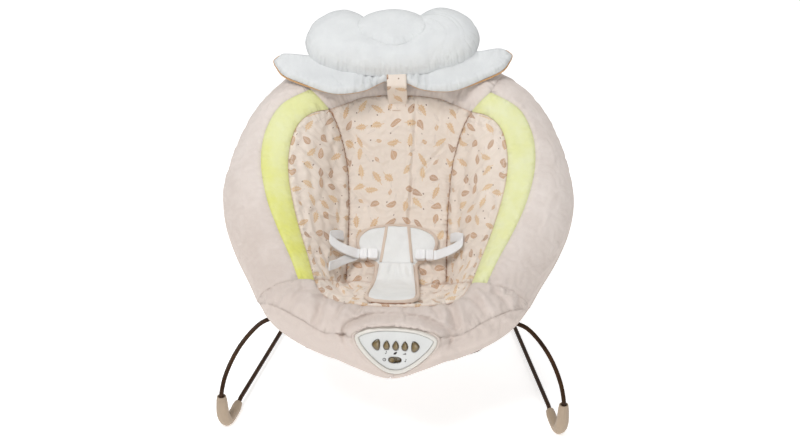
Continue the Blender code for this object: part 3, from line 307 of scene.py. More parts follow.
def ribbed_web(name, colour):
    """Woven strap with slanting ribs."""
    n = Nodes(name, 0.8, Sheen_Weight=0.2, Specular_IOR_Level=0.3)
    x, y, _ = n.split(n.coords("cloth"))
    height = n.sine(x, 0.0013) * 0.6 + n.sine(y + x * 0.6, 0.0011) * 0.4
    return n.finish(n.mix(n.span(height, -1.0, 1.0), shaded(colour, 0.86), colour), n.bump(height, 0.00016))


def plain_weave(name, light, dark, pitch=0.0009):
    n = Nodes(name, 0.92, Sheen_Weight=0.2, Specular_IOR_Level=0.2)
    weave, slub = woven(n, n.coords("cloth"), pitch), n.noise(n.coords(), 0.01, 3.0)
    colour = n.mix((weave + slub) * 0.5, dark, light)
    return n.finish(colour, n.bump(slub, 0.0007, 0.7, n.bump(weave, 0.00022)))


def moulded(name, light, dark, rough, grain=0.0006, depth=0.00004, cloud=(0.03, 3.0, 0.3), worn=0.08, **sockets):
    """Moulded plastic or baked paint with a fine grain and faint handling marks."""
    n = Nodes(name, rough, **sockets)
    at = n.coords()
    size, detail, low = cloud
    marks = n.noise(at, size, detail)
    colour = n.mix(n.span(marks, low, 1.0 - low), dark, light)
    bumps = n.bump(n.noise(at, grain), depth)
    return n.finish(colour, bumps, n.span(marks, 0.3, 0.7, rough - 0.06, rough + worn))


def glossy(name, middle, edge, rough, **sockets):
    """Polished plastic, lighter in the middle of each cap and darker at its edge: a painted highlight and painted
    edge shade.
    """
    n = Nodes(name, rough, **sockets)
    cloud = n.noise(n.coords(), 0.004)
    share = (n.span(n.split(n.coords("seam"))[0], 0.3, 0.98) + (cloud - 0.5) * 0.5).clamped()
    return n.finish(n.mix(share, middle, edge), n.bump(cloud, 0.00003))


def metal(name, colour, rough):
    n = Nodes(name, rough, Metallic=1.0)
    fine = n.noise(n.vector("MULTIPLY", n.coords(), (1.0, 1.0, 12.0)), 0.004)
    return n.finish(n.mix(fine, shaded(colour, 0.85), colour), n.bump(fine, 0.00003))


# Painted shade: the beige velour turns darker towards the bottom of the pad, standing in for the shade on its
# lower parts.
VELOUR = pile_cloth(
    "velour_beige", (0.785, 0.712, 0.668), (0.63, 0.545, 0.495), shade=(-0.1, -1.0, -0.34, -0.17, 1.0), cloudy=0.4
)
LIME = pile_cloth(
    "velour_lime", (0.775, 0.795, 0.545), (0.725, 0.728, 0.185), crease=0.0007,
    shade=(-1.0, -2.0, -0.62, -0.28, 0.9), cloudy=0.35,
)
FLEECE = pile_cloth(
    "white_fleece", (0.725, 0.74, 0.742), (0.68, 0.695, 0.702), pile=0.0013, nap=0.016, depth=0.0006, crease=0.0007
)
COTTON = pile_cloth(
    "white_cotton", (0.805, 0.808, 0.8), (0.755, 0.758, 0.748), pile=0.0007, nap=0.016, depth=0.0003, crease=0.0007
)
PRINT = printed_cloth("cream_print")
WEB = ribbed_web("white_webbing", (0.92, 0.92, 0.93))
PIPING = plain_weave("tan_piping", (0.8, 0.67, 0.57), (0.7, 0.56, 0.46), 0.0008)
# Dark brown of seam threads, also used as painted shade in seam creases and under the crotch flap.
SEAM_THREAD_SHADE = plain_weave("seam_thread_and_shade", (0.36, 0.18, 0.1), (0.25, 0.12, 0.065), 0.0006)
ORANGE = plain_weave("tan_binding", (0.7, 0.42, 0.21), (0.56, 0.32, 0.15), 0.0008)
LINING = plain_weave("lining", (0.64, 0.575, 0.53), (0.52, 0.455, 0.415))
THREAD = plain_weave("thread", (0.7, 0.52, 0.4), (0.56, 0.4, 0.3), 0.0005)
WHITE_THREAD = plain_weave("white_thread", (0.8, 0.8, 0.8), (0.66, 0.66, 0.66), 0.0005)
ROD_PAINT = moulded(
    "brown_steel", (0.05, 0.021, 0.006), (0.026, 0.01, 0.003), 0.4, 0.0016, 0.00008, (0.02, 4.0, 0.35), 0.12,
    Specular_IOR_Level=0.18,
)
TAUPE = moulded("taupe_plastic", (0.405, 0.312, 0.224), (0.35, 0.266, 0.188), 0.5, depth=0.00008)
WHITE_PLASTIC = moulded("white_plastic", (0.86, 0.86, 0.87), (0.8, 0.8, 0.81), 0.35)
CREAM = moulded("cream_plastic", (0.7, 0.675, 0.625), (0.655, 0.63, 0.58), 0.36)
FACE = moulded("face_plastic", (0.675, 0.68, 0.668), (0.64, 0.645, 0.632), 0.4)
# Painted highlight: the buttons are lighter in the middle and darker at the edge.
OLIVE = glossy(
    "olive_button", (0.215, 0.15, 0.058), (0.064, 0.042, 0.015), 0.14, Coat_Weight=0.8, Coat_Roughness=0.08
)
DARK = moulded("dark_plastic", (0.05, 0.045, 0.04), (0.025, 0.022, 0.02), 0.5)
INK = moulded("icon_ink", (0.03, 0.022, 0.02), (0.02, 0.015, 0.014), 0.6)
RUBBER = moulded("rubber", (0.07, 0.064, 0.06), (0.045, 0.04, 0.038), 0.75, depth=0.0001)
BOARD = moulded("circuit_board", (0.03, 0.2, 0.08), (0.02, 0.14, 0.06), 0.5)
CELL = moulded("cell_sleeve", (0.1, 0.12, 0.17), (0.07, 0.085, 0.13), 0.35)
STEEL = metal("bright_steel", (0.62, 0.61, 0.6), 0.3)

# The pad as heights above a tilted plane: x across, s up the plane, h out of it
PAD_TILT = math.radians(39)
PAD_FOOT = (-0.08, 0.15)
BOWL_DEPTH, LIP_HEIGHT, BACK_LEVEL, CENTRE_SEAM = 0.109, 0.041, -0.068, 0.078
ROLL_WIDTH, ROLL_DROP = 0.048, 0.05
SIDE_WIDER, SIDE_DEEPER, CREST_INSIDE, CUSHION = 0.02, 0.01, 0.075, 0.01
PAD_MIDDLE = 0.3
ALONG = Vector((0.0, math.cos(PAD_TILT), math.sin(PAD_TILT)))
OUT = Vector((0.0, -math.sin(PAD_TILT), math.cos(PAD_TILT)))
RIM_HALF = [
    (0.0, 0.014), (0.05, 0.028), (0.1, 0.049), (0.145, 0.069), (0.178, 0.092), (0.2, 0.122),
    (0.219, 0.16), (0.245, 0.21), (0.265, 0.262), (0.273, 0.315), (0.266, 0.368), (0.251, 0.418),
    (0.228, 0.465), (0.193, 0.506), (0.15, 0.532), (0.08, 0.549), (0.0, 0.553),
]
FLOOR_LINE = [
    (0.0, 0.022), (0.04, 0.033), (0.075, LIP_HEIGHT), (0.095, 0.034), (0.1131, 0.0126), (0.1407, -0.0329),
    (0.1676, -0.0791), (0.186, -0.101), (0.205, -BOWL_DEPTH), (0.24, -BOWL_DEPTH), (0.3, -0.104),
    (0.37, -0.092), (0.43, -0.068), (0.48, -0.035), (0.52, -0.008), (0.553, 0.0),
]
WALL_LINE = [(0.0, 0.022), (0.09, 0.026), (0.15, 0.014), (0.25, 0.0), (0.4, -0.004), (0.553, -0.002)]
UNDER_LINE = [
    (0.0, -0.04), (0.06, -0.028), (0.095, -0.026), (0.125, -0.05), (0.155, -0.088), (0.185, -0.117),
    (0.21, -BOWL_DEPTH - 0.016), (0.24, -BOWL_DEPTH - 0.016), (0.3, -0.12), (0.37, -0.108),
    (0.43, -0.086), (0.48, -0.072), (0.52, BACK_LEVEL), (0.553, BACK_LEVEL),
]
RIM_UNDER = [(0.0, -0.04), (0.09, -0.041), (0.15, -0.054), (0.23, BACK_LEVEL), (0.553, BACK_LEVEL)]


def on_pad(x, s, h):
    """Places in the row frame of arrays of pad coordinates."""
    x, s, h = np.broadcast_arrays(*(np.asarray(a, float) for a in (x, s, h)))
    y = PAD_FOOT[0] + s * ALONG.y + h * OUT.y + PLAN_SHIFT
    z = PAD_FOOT[1] + s * ALONG.z + h * OUT.z
    return np.stack([x, y, z], -1)


def eased(knots, v):
    """Smooth values at v of a line of knots."""
    k = np.array(knots, float)
    v = np.asarray(v, float)
    rise = np.diff(k[:, 1]) / np.diff(k[:, 0])
    slope = np.zeros(len(k))
    a, b = rise[:-1], rise[1:]
    slope[1:-1] = np.where(a * b > 0, 2 * a * b / np.where(a + b == 0, 1, a + b), 0.0)
    i = np.clip(np.searchsorted(k[:, 0], v) - 1, 0, len(k) - 2)
    span = k[i + 1, 0] - k[i, 0]
    t = np.clip((v - k[i, 0]) / span, 0, 1)
    return (
        (2 * t**3 - 3 * t**2 + 1) * k[i, 1]
        + (t**3 - 2 * t**2 + t) * span * slope[i]
        + (3 * t**2 - 2 * t**3) * k[i + 1, 1]
        + (t**3 - t**2) * span * slope[i + 1]
    )


def smooth_line(points, per=12, closed=False):
    """Rounded line through points of any dimension."""
    line = np.array(points, float)
    if closed:
        line = np.vstack([line[-1:], line, line[:2]])
    else:
        line = np.vstack([line[0] * 2 - line[1], line, line[-1] * 2 - line[-2]])
    t = (np.arange(per) / per)[:, None]
    out = []
    for a, b, c, d in zip(line, line[1:], line[2:], line[3:]):
        out.append((b * 2 + (c - a) * t + (a * 2 - b * 5 + c * 4 - d) * t**2 + (b * 3 - a - c * 3 + d) * t**3) / 2)
    if not closed:
        out.append(line[-2:-1])
    return np.vstack(out)


def run_along(line):
    """Distance along a line at each of its points."""
    return np.concatenate([[0], np.cumsum(np.linalg.norm(np.diff(line, axis=0), axis=1))])


def unit(rows):
    """Each row drawn out or in to the length 1."""
    return rows / np.linalg.norm(rows, axis=1)[:, None]


def spread(points, count):
    """Evenly spaced points along a rounded line."""
    line = smooth_line(points)
    run = run_along(line)
    want = np.linspace(0, run[-1], count + 1)
    return np.stack([np.interp(want, run, line[:, k]) for k in range(line.shape[1])], 1)


rim_start, rim_end = ((-x, s) for x, s in (RIM_HALF[1], RIM_HALF[-2]))
rim_full = smooth_line([rim_start, *RIM_HALF, rim_end])[12:-12]
RIM_ANGLE = np.arctan2(rim_full[:, 1] - PAD_MIDDLE, rim_full[:, 0])
RIM_RADIUS = np.hypot(rim_full[:, 0], rim_full[:, 1] - PAD_MIDDLE)


def wall_share(x, s):
    """0 on the bowl's floor, rising to 1 at the crest of its wall."""
    half = np.interp(s, rim_full[:, 1], rim_full[:, 0])
    crest = np.maximum(half - CREST_INSIDE, 0.03)
    u = np.clip((np.abs(x) - CENTRE_SEAM) / np.maximum(crest - CENTRE_SEAM, 0.02), 0, 1)
    return np.sin(u * math.pi / 2) ** 1.15


def front(x, s):
    """Height of the pad's front face."""
    x = np.abs(x)
    angle = np.arctan2(s - PAD_MIDDLE, x)
    inside = np.interp(angle, RIM_ANGLE, RIM_RADIUS) - np.hypot(x, s - PAD_MIDDLE)
    side = np.cos(angle)
    width, drop = ROLL_WIDTH + SIDE_WIDER * side, ROLL_DROP + SIDE_DEEPER * side
    e = np.clip((width - inside) / width, 0, 1)
    g = wall_share(x, s)
    return eased(FLOOR_LINE, s) * (1 - g) + eased(WALL_LINE, s) * g - drop * (1 - np.sqrt(1 - e * e))


def back(x, s):
    """Height of the pad's back face."""
    g = wall_share(x, s)
    level = eased(UNDER_LINE, s) * (1 - g) + eased(RIM_UNDER, s) * g
    return np.minimum(level, front(x, s) - CUSHION)


# Seam lines of the pad, right side; the left side mirrors them
CREASE_END, TOP_CORNER = (CENTRE_SEAM, 0.186), (0.1125, 0.45)
STRIPE_TOP, RIM_TOP = (0.142, 0.472), (0.166, 0.524)
SEAT_CORNER, STRIPE_FOOT, RIM_SIDE = (0.1165, 0.146), (0.1385, 0.142), (0.203, 0.127)
CENTRE_LINE = [
    CREASE_END, (0.078, 0.225), (0.078, 0.275), (0.0795, 0.33), (0.085, 0.385), (0.098, 0.428), TOP_CORNER,
]
STRIPE_IN = [
    SEAT_CORNER, (0.13, 0.192), (0.1445, 0.234), (0.1575, 0.278), (0.1675, 0.324), (0.169, 0.368),
    (0.16, 0.408), (0.14, 0.434), TOP_CORNER,
]
STRIPE_OUT = [
    STRIPE_FOOT, (0.154, 0.181), (0.175, 0.226), (0.1955, 0.276), (0.209, 0.33), (0.211, 0.376),
    (0.203, 0.414), (0.184, 0.447), STRIPE_TOP,
]
TOP_ARC = [
    (-0.1125, 0.45), (-0.076, 0.473), (-0.04, 0.48), (0.0, 0.481), (0.04, 0.48), (0.076, 0.473), TOP_CORNER,
]
SEAT_FRONT = [(-0.1165, 0.146), (-0.103, 0.121), (-0.08, 0.106), (-0.035, 0.096), (0.0, 0.095)]
LOWER_SEAM = [(0.196, 0.117), (0.136, 0.084), (0.107, 0.067), (0.076, 0.056), (0.04, 0.05), (0.0, 0.048)]


def rim_part(start, end, count):
    """Points of the pad's rim from one place to another."""
    angles = [math.atan2(p[1] - PAD_MIDDLE, p[0]) for p in (start, end)]
    a = np.linspace(*angles, count + 1)
    radius = np.interp(a, RIM_ANGLE, RIM_RADIUS)
    return np.stack([radius * np.cos(a), PAD_MIDDLE + radius * np.sin(a)], 1)


def mirrored(line):
    """A flat line on the other side of the pad."""
    return np.array(line) * [-1, 1]


def both(half):
    """A line and its mirror image, joined at the middle where the line ends."""
    half = np.array(half)
    return np.vstack([mirrored(half), half[-2::-1]])


def coons(low, high, left, right):
    """Grid between four edges: low and high run across, left and right run up."""
    low, high, left, right = (np.array(edge, float) for edge in (low, high, left, right))
    u = np.linspace(0, 1, len(low))[None, :, None]
    v = np.linspace(0, 1, len(left))[:, None, None]
    flat = (1 - v) * low[None] + v * high[None] + (1 - u) * left[:, None] + u * right[:, None]
    corners = (1 - u) * (1 - v) * low[0] + u * (1 - v) * low[-1] + (1 - u) * v * high[0] + u * v * high[-1]
    return flat - corners


def between(start, end, count):
    """A straight line of evenly spaced points."""
    return np.linspace(start, end, count + 1)


def filled(low, high, rows):
    """Grid between two edges, with straight sides."""
    return coons(low, high, between(low[0], high[0], rows), between(low[-1], high[-1], rows))


def fitted(inner, outer, share, start, end):
    """Grid from one line to another at the given shares, fitted to the lines that join their ends."""
    u = share[None, :, None]
    rows = inner[:, None] * (1 - u) + outer[:, None] * u
    v = np.linspace(0, 1, len(inner))[:, None, None]
    return rows + ((1 - v) * (start - rows[0])[None] + v * (end - rows[-1])[None])


def ring_of(rows, cols):
    """Border of a grid in order, as pairs of row and column."""
    ring = [(0, j) for j in range(cols)] + [(i, cols - 1) for i in range(1, rows)]
    return ring + [(rows - 1, j) for j in range(cols - 2, -1, -1)] + [(i, 0) for i in range(rows - 2, 0, -1)]


def along_ring(grid):
    """The values on a grid's border, in order."""
    return np.array([grid[i, j] for i, j in ring_of(*grid.shape[:2])])


def border_walk(grid):
    """Distance of grid points from the border, the place on it that is nearest, its length, and the calm share."""
    rows, cols = grid.shape[:2]
    line = along_ring(grid)
    loop = np.vstack([line, line[:1]])
    fine = np.vstack([a + (b - a) * np.linspace(0, 1, 6, endpoint=False)[:, None] for a, b in zip(loop, loop[1:])])
    run = run_along(fine)
    flat = grid.reshape(-1, 2)
    gap = np.empty(len(flat))
    near = np.empty(len(flat))
    for k in range(0, len(flat), 400):
        far = np.linalg.norm(flat[k : k + 400, None] - fine[None], axis=2)
        best = far.argmin(axis=1)
        gap[k : k + 400] = far[np.arange(len(best)), best]
        near[k : k + 400] = run[best]
    near = near.reshape(rows, cols)
    return softened(gap.reshape(rows, cols)), near, run[-1], calm_share(near)


def softened(field, rounds=6):
    """A grid of values with its sharp inner ridges rounded off."""
    field = field.copy()
    for _ in range(rounds):
        field[1:-1, 1:-1] = (field[:-2, 1:-1] + field[2:, 1:-1] + field[1:-1, :-2] + field[1:-1, 2:]) / 4
    return field


def calm_share(near):
    """0 where the nearest place on the border jumps from one grid point to the next, and 1 away from there."""
    calm = np.ones(near.shape)
    for a, b in ((near[:-1], near[1:]), (near[:, :-1], near[:, 1:])):
        jump = np.abs(a - b) > 4 * FINE
        if a.shape[0] < near.shape[0]:
            calm[:-1][jump] = calm[1:][jump] = 0
        else:
            calm[:, :-1][jump] = calm[:, 1:][jump] = 0
    return np.minimum(calm, softened(calm, 3))


def ripple(t, seed, waves=5):
    """Uneven wave with about one crest for each unit of t."""
    rng = np.random.default_rng(seed)
    out = np.zeros_like(t)
    for _ in range(waves):
        out += np.sin(2 * math.pi * (t * rng.uniform(0.55, 1.6) + rng.random())) * rng.uniform(0.4, 1.0)
    return out / math.sqrt(waves)


def lumps(x, s, size, seed):
    """Soft unevenness of about unit height."""
    rng = np.random.default_rng(seed)
    out = np.zeros(np.broadcast(x, s).shape)
    for _ in range(9):
        a, k, p = rng.uniform(0, math.pi), rng.uniform(0.6, 1.5) / size, rng.random()
        out = out + np.sin(2 * math.pi * ((x * math.cos(a) + s * math.sin(a)) * k + p))
    return out / 3.0


def fold(x, s, start, end, width, depth, ridge=0.6):
    """Height of a crease between two points, with a soft ridge along one side."""
    a, b = np.array(start), np.array(end)
    along = b - a
    size = np.hypot(*along)
    along = along / size
    px, ps = x - a[0], s - a[1]
    t = (px * along[0] + ps * along[1]) / size
    off = px * -along[1] + ps * along[0]
    fade = np.clip(np.minimum(t, 1 - t) * 4 + 0.5, 0, 1)
    fade = fade * fade * (3 - 2 * fade) * ((t > -0.12) & (t < 1.12))
    ridge = ridge * depth * np.exp(-(((off - width * 1.5) / (width * 1.3)) ** 2))
    return fade * (ridge - depth * np.exp(-((off / width) ** 2)))


def mesh_piece(name, points, faces, stuff, cloth=None, smooth=True, seam=None):
    """A mesh object in the row frame, with its cloth coordinates and seam distances in metres."""
    mesh = bpy.data.meshes.new(name)
    mesh.from_pydata([tuple(map(float, p)) for p in points], [], faces)
    mesh.materials.append(stuff)
    if cloth is not None:
        if seam is None:
            seam = np.broadcast_to([1.0, 0.0, 0.0], np.shape(cloth))
        for key, rows in (("cloth", cloth), ("seam", seam)):
            values = mesh.attributes.new(key, "FLOAT_VECTOR", "POINT")
            values.data.foreach_set("vector", np.ascontiguousarray(rows, np.float32).ravel())
    mesh.update()
    piece = bpy.data.objects.new(name, mesh)
    stage.collection.objects.link(piece)
    form = bmesh.new()
    form.from_mesh(mesh)
    bmesh.ops.recalc_face_normals(form, faces=form.faces)
    form.to_mesh(mesh)
    form.free()
    if smooth:
        mesh.shade_smooth()
    return piece


def lengths_of(points):
    """Cloth coordinates of a grid: lengths measured along it from its middle column and first row."""
    across = np.linalg.norm(np.diff(points, axis=1), axis=2)
    up = np.linalg.norm(np.diff(points, axis=0), axis=2)
    u = np.concatenate([np.zeros((points.shape[0], 1)), np.cumsum(across, axis=1)], axis=1)
    u -= u[:, points.shape[1] // 2][:, None]
    v = np.concatenate([np.zeros((1, points.shape[1])), np.cumsum(up, axis=0)], axis=0)
    return np.stack([u, v, np.zeros_like(u)], -1)


def ring_faces(count, rings, base=0, closed=False, ends=True):
    """Faces of stacked rings of points, with flat ends."""
    total = count * rings
    faces = []
    for a in range(0, total if closed else total - count, count):
        for k in range(count):
            n, after = (k + 1) % count, (a + count) % total
            faces.append((base + a + k, base + a + n, base + after + n, base + after + k))
    if ends:
        faces += [tuple(range(base, base + count))[::-1], tuple(range(base + total - count, base + total))]
    return faces


def shell_faces(rows, cols, layers):
    """Faces of stacked border rings between a front grid and a back grid."""
    half = rows * cols
    faces = []
    base = half + layers * len(ring_of(rows, cols))
    for i in range(rows - 1):
        for j in range(cols - 1):
            a = i * cols + j
            faces.append((a, a + 1, a + cols + 1, a + cols))
            faces.append((base + a, base + a + cols, base + a + cols + 1, base + a + 1))
    ring = [i * cols + j for i, j in ring_of(rows, cols)]
    count = len(ring)
    walls = [[half + layer * count + k for k in range(count)] for layer in range(layers)]
    levels = [ring, *walls, [base + a for a in ring]]
    for upper, lower in zip(levels, levels[1:]):
        for k in range(count):
            n = (k + 1) % count
            faces.append((upper[k], lower[k], lower[n], upper[n]))
    return faces


def shell(name, top, low, walls, stuff, shift=0.0, field=None, drop=0.0):
    """A closed piece between two grids of places, with rings of places between their borders for its walls."""
    layers = len(walls)
    points = np.vstack([top.reshape(-1, 3), *walls, low.reshape(-1, 3)])
    cloth = lengths_of(top)
    edges = [along_ring(cloth) + drop * (k + 1) / (layers + 1) for k in range(layers)]
    cloth = np.vstack([cloth.reshape(-1, 3), *edges, cloth.reshape(-1, 3)]) + shift
    seam = None
    if field is not None:
        values = np.stack(field, -1)
        flat = values.reshape(-1, 3)
        seam = np.vstack([flat] + [along_ring(values)] * layers + [flat])
    return mesh_piece(name, points, shell_faces(*top.shape[:2], layers), stuff, cloth, seam=seam)


def keep_seams(piece, kept):
    """Keeps the border edges that a grid marks in place and crisp when the piece is refined."""
    mesh = piece.data
    ring = [i * kept.shape[1] + j for i, j in ring_of(*kept.shape)]
    pairs = {tuple(sorted(p)) for p, keep in zip(zip(ring, ring[1:] + ring[:1]), along_ring(kept)) if keep}
    ends = np.empty(2 * len(mesh.edges), np.int32)
    mesh.edges.foreach_get("vertices", ends)
    flags = np.array([tuple(sorted(pair)) in pairs for pair in ends.reshape(-1, 2).tolist()])
    mesh.attributes.new("crease_edge", "FLOAT", "EDGE").data.foreach_set("value", flags.astype(np.float32))
    mesh.attributes.new("sharp_edge", "BOOLEAN", "EDGE").data.foreach_set("value", flags)


def edge_distance(grid, sides):
    """Distance of each grid point from the named sides of the grid."""
    gap = np.full(grid.shape[:2], 1.0)
    for side in sides:
        line = {"low": grid[0], "high": grid[-1], "left": grid[:, 0], "right": grid[:, -1]}[side]
        for i, row in enumerate(grid):
            gap[i] = np.minimum(gap[i], np.linalg.norm(row[:, None] - line[None], axis=2).min(axis=1))
    return gap


def panel(name, grid, stuff, node, look, rims=(), seed=1):
    """A sewn and filled panel that stands for a node: drawn in at its seams, with folds, gathers and lumps."""
    x, s = grid[..., 0], grid[..., 1]
    gap, near, run, calm = border_walk(grid)
    free = np.clip(edge_distance(grid, rims) / RIM_REACH, 0, 1)
    roll = np.clip(gap / look["roll"], 0, 1)
    tuck = look["tuck"] * (1 - roll) ** 2.2 * free
    crown = look["crown"] * np.sin(np.clip(gap / look["reach"], 0, 1) * math.pi / 2) * free
    high = front(x, s) - tuck + crown
    count = max(round(run / look["pitch"]), 3)
    wave = ripple(near / run * count, seed) * np.exp(-gap / look["run_in"]) * np.clip(gap / 0.004, 0, 1)
    high = high + look["gather"] * wave * free * calm
    high = high + look["lump"] * lumps(x, s, look["lump_size"], seed + 50) * np.clip(gap / 0.02, 0, 1)
    for start, end, width, depth in look["folds"]:
        high = high + fold(x, s, start, end, width, depth) * np.clip(gap / 0.003, 0, 1)
    under = look["under"] * np.clip((0.185 - np.abs(x)) / 0.07, 0, 1)
    top, low = on_pad(x, s, high), on_pad(x, s, np.minimum(back(x, s), high - 0.006) - under)
    edge_top, edge_low = along_ring(top), along_ring(low)
    plan = unit(along_ring(grid) - [0.0, PAD_MIDDLE])
    away = plan[:, :1] * np.array([[1.0, 0, 0]]) + plan[:, 1:] * np.array([[0.0, ALONG.y, ALONG.z]])
    on_rim, edge_under = (along_ring(a)[:, None] for a in (1 - free, under))
    walls = []
    for t in WALL_RINGS:
        bulge = (0.0022 + 0.4 * edge_under) * math.sin(math.pi * t) - 0.0008 * t
        walls.append(edge_top * (1 - t) + edge_low * t + away * bulge * on_rim)
    drop = np.linalg.norm(edge_top - edge_low, axis=1)[:, None] * np.array([[0.7, 0.7, 0]])
    field = (gap + RIM_REACH * (1 - free), near + seed * 0.37, calm)
    piece = shell(name, top, low, walls, stuff, [seed * 0.137, seed * 0.071, 0], field, drop)
    keep_seams(piece, free > 0.2)
    held = np.ones(len(piece.data.vertices))
    held[: gap.size] = np.where(gap.ravel() < 0.0009, 1.0, look["firm"])
    to_settle.append((piece, held, look["pressure"], look["slack"]))
    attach(piece, "seat")
    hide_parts(node)
    return piece


to_settle = []
RIM_REACH, WALL_RINGS = 0.03, (0.25, 0.5, 0.75)
SEAMED = {
    "pressure": 0.5, "slack": 0.08, "firm": 0.46, "roll": 0.008, "tuck": 0.0024, "crown": 0.003, "reach": 0.05,
    "pitch": 0.0095, "gather": 0.0017, "run_in": 0.012, "lump": 0.0014, "lump_size": 0.09,
    "folds": (), "under": 0.0,
}


def style(**changes):
    """How a panel looks: the usual seamed look with changes."""
    return {**SEAMED, **changes}


FINE = 0.0038


def steps(size):
    """How many grid steps go into a length."""
    return max(int(round(size / FINE)), 3)


def crease_points(count):
    """The seam where the back meets the seat, a little wavy."""
    x = np.linspace(-CENTRE_SEAM, CENTRE_SEAM, count)
    wave = 0.003 * np.sin(x * 95 + 0.6) + 0.0016 * np.sin(x * 210 + 2.0)
    return np.stack([x, CREASE_END[1] + wave * (1 - (x / CENTRE_SEAM) ** 4)], 1)


# Edges shared by neighbouring panels
ROWS, ARC, SEAT_HALF, STRIPE_STEPS, BOLSTER_STEPS = (steps(size) for size in (0.34, 0.26, 0.14, 0.04, 0.105))
centre_line, stripe_in, stripe_out = (spread(line, ROWS) for line in (CENTRE_LINE, STRIPE_IN, STRIPE_OUT))
rim_side = rim_part(RIM_SIDE, RIM_TOP, ROWS)
top_arc = spread(TOP_ARC, ARC)
crease = crease_points(ARC + 1)
seat_half = spread(SEAT_FRONT, SEAT_HALF)
seat_front = both(mirrored(seat_half))
seat_side = spread([CREASE_END, (0.098, 0.165), SEAT_CORNER], steps(0.075))
stripe_end_top = spread([TOP_CORNER, STRIPE_TOP], STRIPE_STEPS)
stripe_end_low = spread([SEAT_CORNER, STRIPE_FOOT], STRIPE_STEPS)
outward = np.sin(np.linspace(0, math.pi / 2, BOLSTER_STEPS + 1)) ** 0.9


def eased_spread(points, share):
    """Points along a rounded line at the given shares of its length."""
    fine = spread(points, 200)
    return np.stack([np.interp(share * 200, np.arange(201), fine[:, k]) for k in (0, 1)], 1)


bolster_top = eased_spread([STRIPE_TOP, (0.152, 0.492), tuple(rim_side[-1])], outward)
bolster_low = eased_spread([STRIPE_FOOT, (0.172, 0.135), tuple(rim_side[0])], outward)
band_side = np.vstack([stripe_end_top, bolster_top[1:]])
band_run = run_along(band_side)
crown_line = rim_part(tuple(mirrored(rim_side[-1:])[0]), tuple(rim_side[-1]), ARC)
band_grid = fitted(top_arc, crown_line, band_run / band_run[-1], mirrored(band_side), band_side).swapaxes(0, 1)
bolster_grid = fitted(stripe_out, rim_side, outward, bolster_low, bolster_top)
stripe_grid = coons(stripe_end_low, stripe_end_top, stripe_in, stripe_out)

# Creases: start, end, width and depth of each
BACK_FOLDS = [
    ((0.018, 0.29), (0.024, 0.455), 0.003, 0.005),
    ((-0.06, 0.196), (0.055, 0.203), 0.0036, 0.003),
    ((-0.07, 0.335), (-0.026, 0.3), 0.0038, 0.0026),
    ((0.07, 0.412), (0.03, 0.368), 0.0036, 0.0028),
    ((-0.084, 0.432), (-0.046, 0.4), 0.0036, 0.0026),
    ((0.064, 0.21), (0.032, 0.25), 0.0036, 0.0024),
    ((-0.072, 0.25), (-0.04, 0.232), 0.0034, 0.0022),
    ((0.072, 0.3), (0.044, 0.318), 0.0034, 0.0022),
]
SIDE_FOLDS = [
    ((0.084, 0.25), (0.132, 0.296), 0.0036, 0.0044),
    ((0.086, 0.282), (0.142, 0.334), 0.0036, 0.0048),
    ((0.09, 0.335), (0.15, 0.374), 0.0036, 0.0038),
    ((0.084, 0.215), (0.12, 0.242), 0.0034, 0.0034),
    ((0.104, 0.392), (0.144, 0.402), 0.0032, 0.0026),
]
SEAT_FOLDS = [
    ((-0.072, 0.184), (-0.046, 0.108), 0.006, 0.0095), ((0.07, 0.184), (0.048, 0.11), 0.006, 0.0095),
    ((-0.092, 0.166), (-0.066, 0.118), 0.005, 0.007), ((0.094, 0.164), (0.07, 0.116), 0.005, 0.007),
    ((-0.052, 0.177), (-0.106, 0.148), 0.0052, 0.0072), ((0.05, 0.18), (0.106, 0.152), 0.0052, 0.0066),
    ((-0.04, 0.12), (-0.094, 0.132), 0.004, 0.004), ((0.04, 0.116), (0.096, 0.134), 0.004, 0.004),
]
FRONT_FOLDS = [
    ((-0.096, 0.116), (-0.108, 0.072), 0.0066, 0.01), ((0.084, 0.112), (0.096, 0.07), 0.0066, 0.0104),
    ((0.058, 0.104), (0.074, 0.078), 0.005, 0.007), ((-0.066, 0.104), (-0.08, 0.072), 0.005, 0.007),
    ((0.114, 0.124), (0.14, 0.09), 0.006, 0.0076), ((-0.124, 0.128), (-0.15, 0.096), 0.006, 0.0066),
    ((-0.04, 0.098), (-0.052, 0.078), 0.0044, 0.005), ((0.15, 0.132), (0.174, 0.108), 0.0056, 0.0058),
]
back_grid = coons(crease, top_arc, mirrored(centre_line), centre_line)
panel(
    "back_panel_cloth", back_grid, PRINT, "back_panel",
    style(folds=BACK_FOLDS, roll=0.01, tuck=0.0036, crown=0.0035, lump=0.0014, gather=0.0014), seed=3,
)
panel(
    "top_band_cloth", band_grid, VELOUR, "top_band",
    style(roll=0.007, gather=0.0024, pitch=0.011, run_in=0.02, crown=0.0012, slack=0.04, pressure=0.2),
    rims=("high",), seed=5,
)
seat_grid = coons(seat_front, crease_points(len(seat_front)), mirrored(seat_side)[::-1], seat_side[::-1])
panel("seat_panel_cloth", seat_grid, PRINT, "seat_panel", style(folds=SEAT_FOLDS, gather=0.0018), seed=7)
SIDES = (("right", 1.0), ("left", -1.0))
channel = style(
    roll=0.006, crown=0.0012, reach=0.016, pitch=0.0105, gather=0.0006, run_in=0.012, lump=0.0008,
    slack=0.03, pressure=0.15, firm=0.6,
)
bolster_roll = style(
    roll=0.007, gather=0.0008, pitch=0.016, run_in=0.014, crown=0.002, lump=0.002, lump_size=0.16,
    slack=0.04, pressure=0.25, firm=0.55,
)
side_grid = coons(seat_side, np.repeat(centre_line[-1:], len(seat_side), axis=0), centre_line, stripe_in)
side_grid[-1] = 0.8 * side_grid[-1] + 0.2 * side_grid[-2]
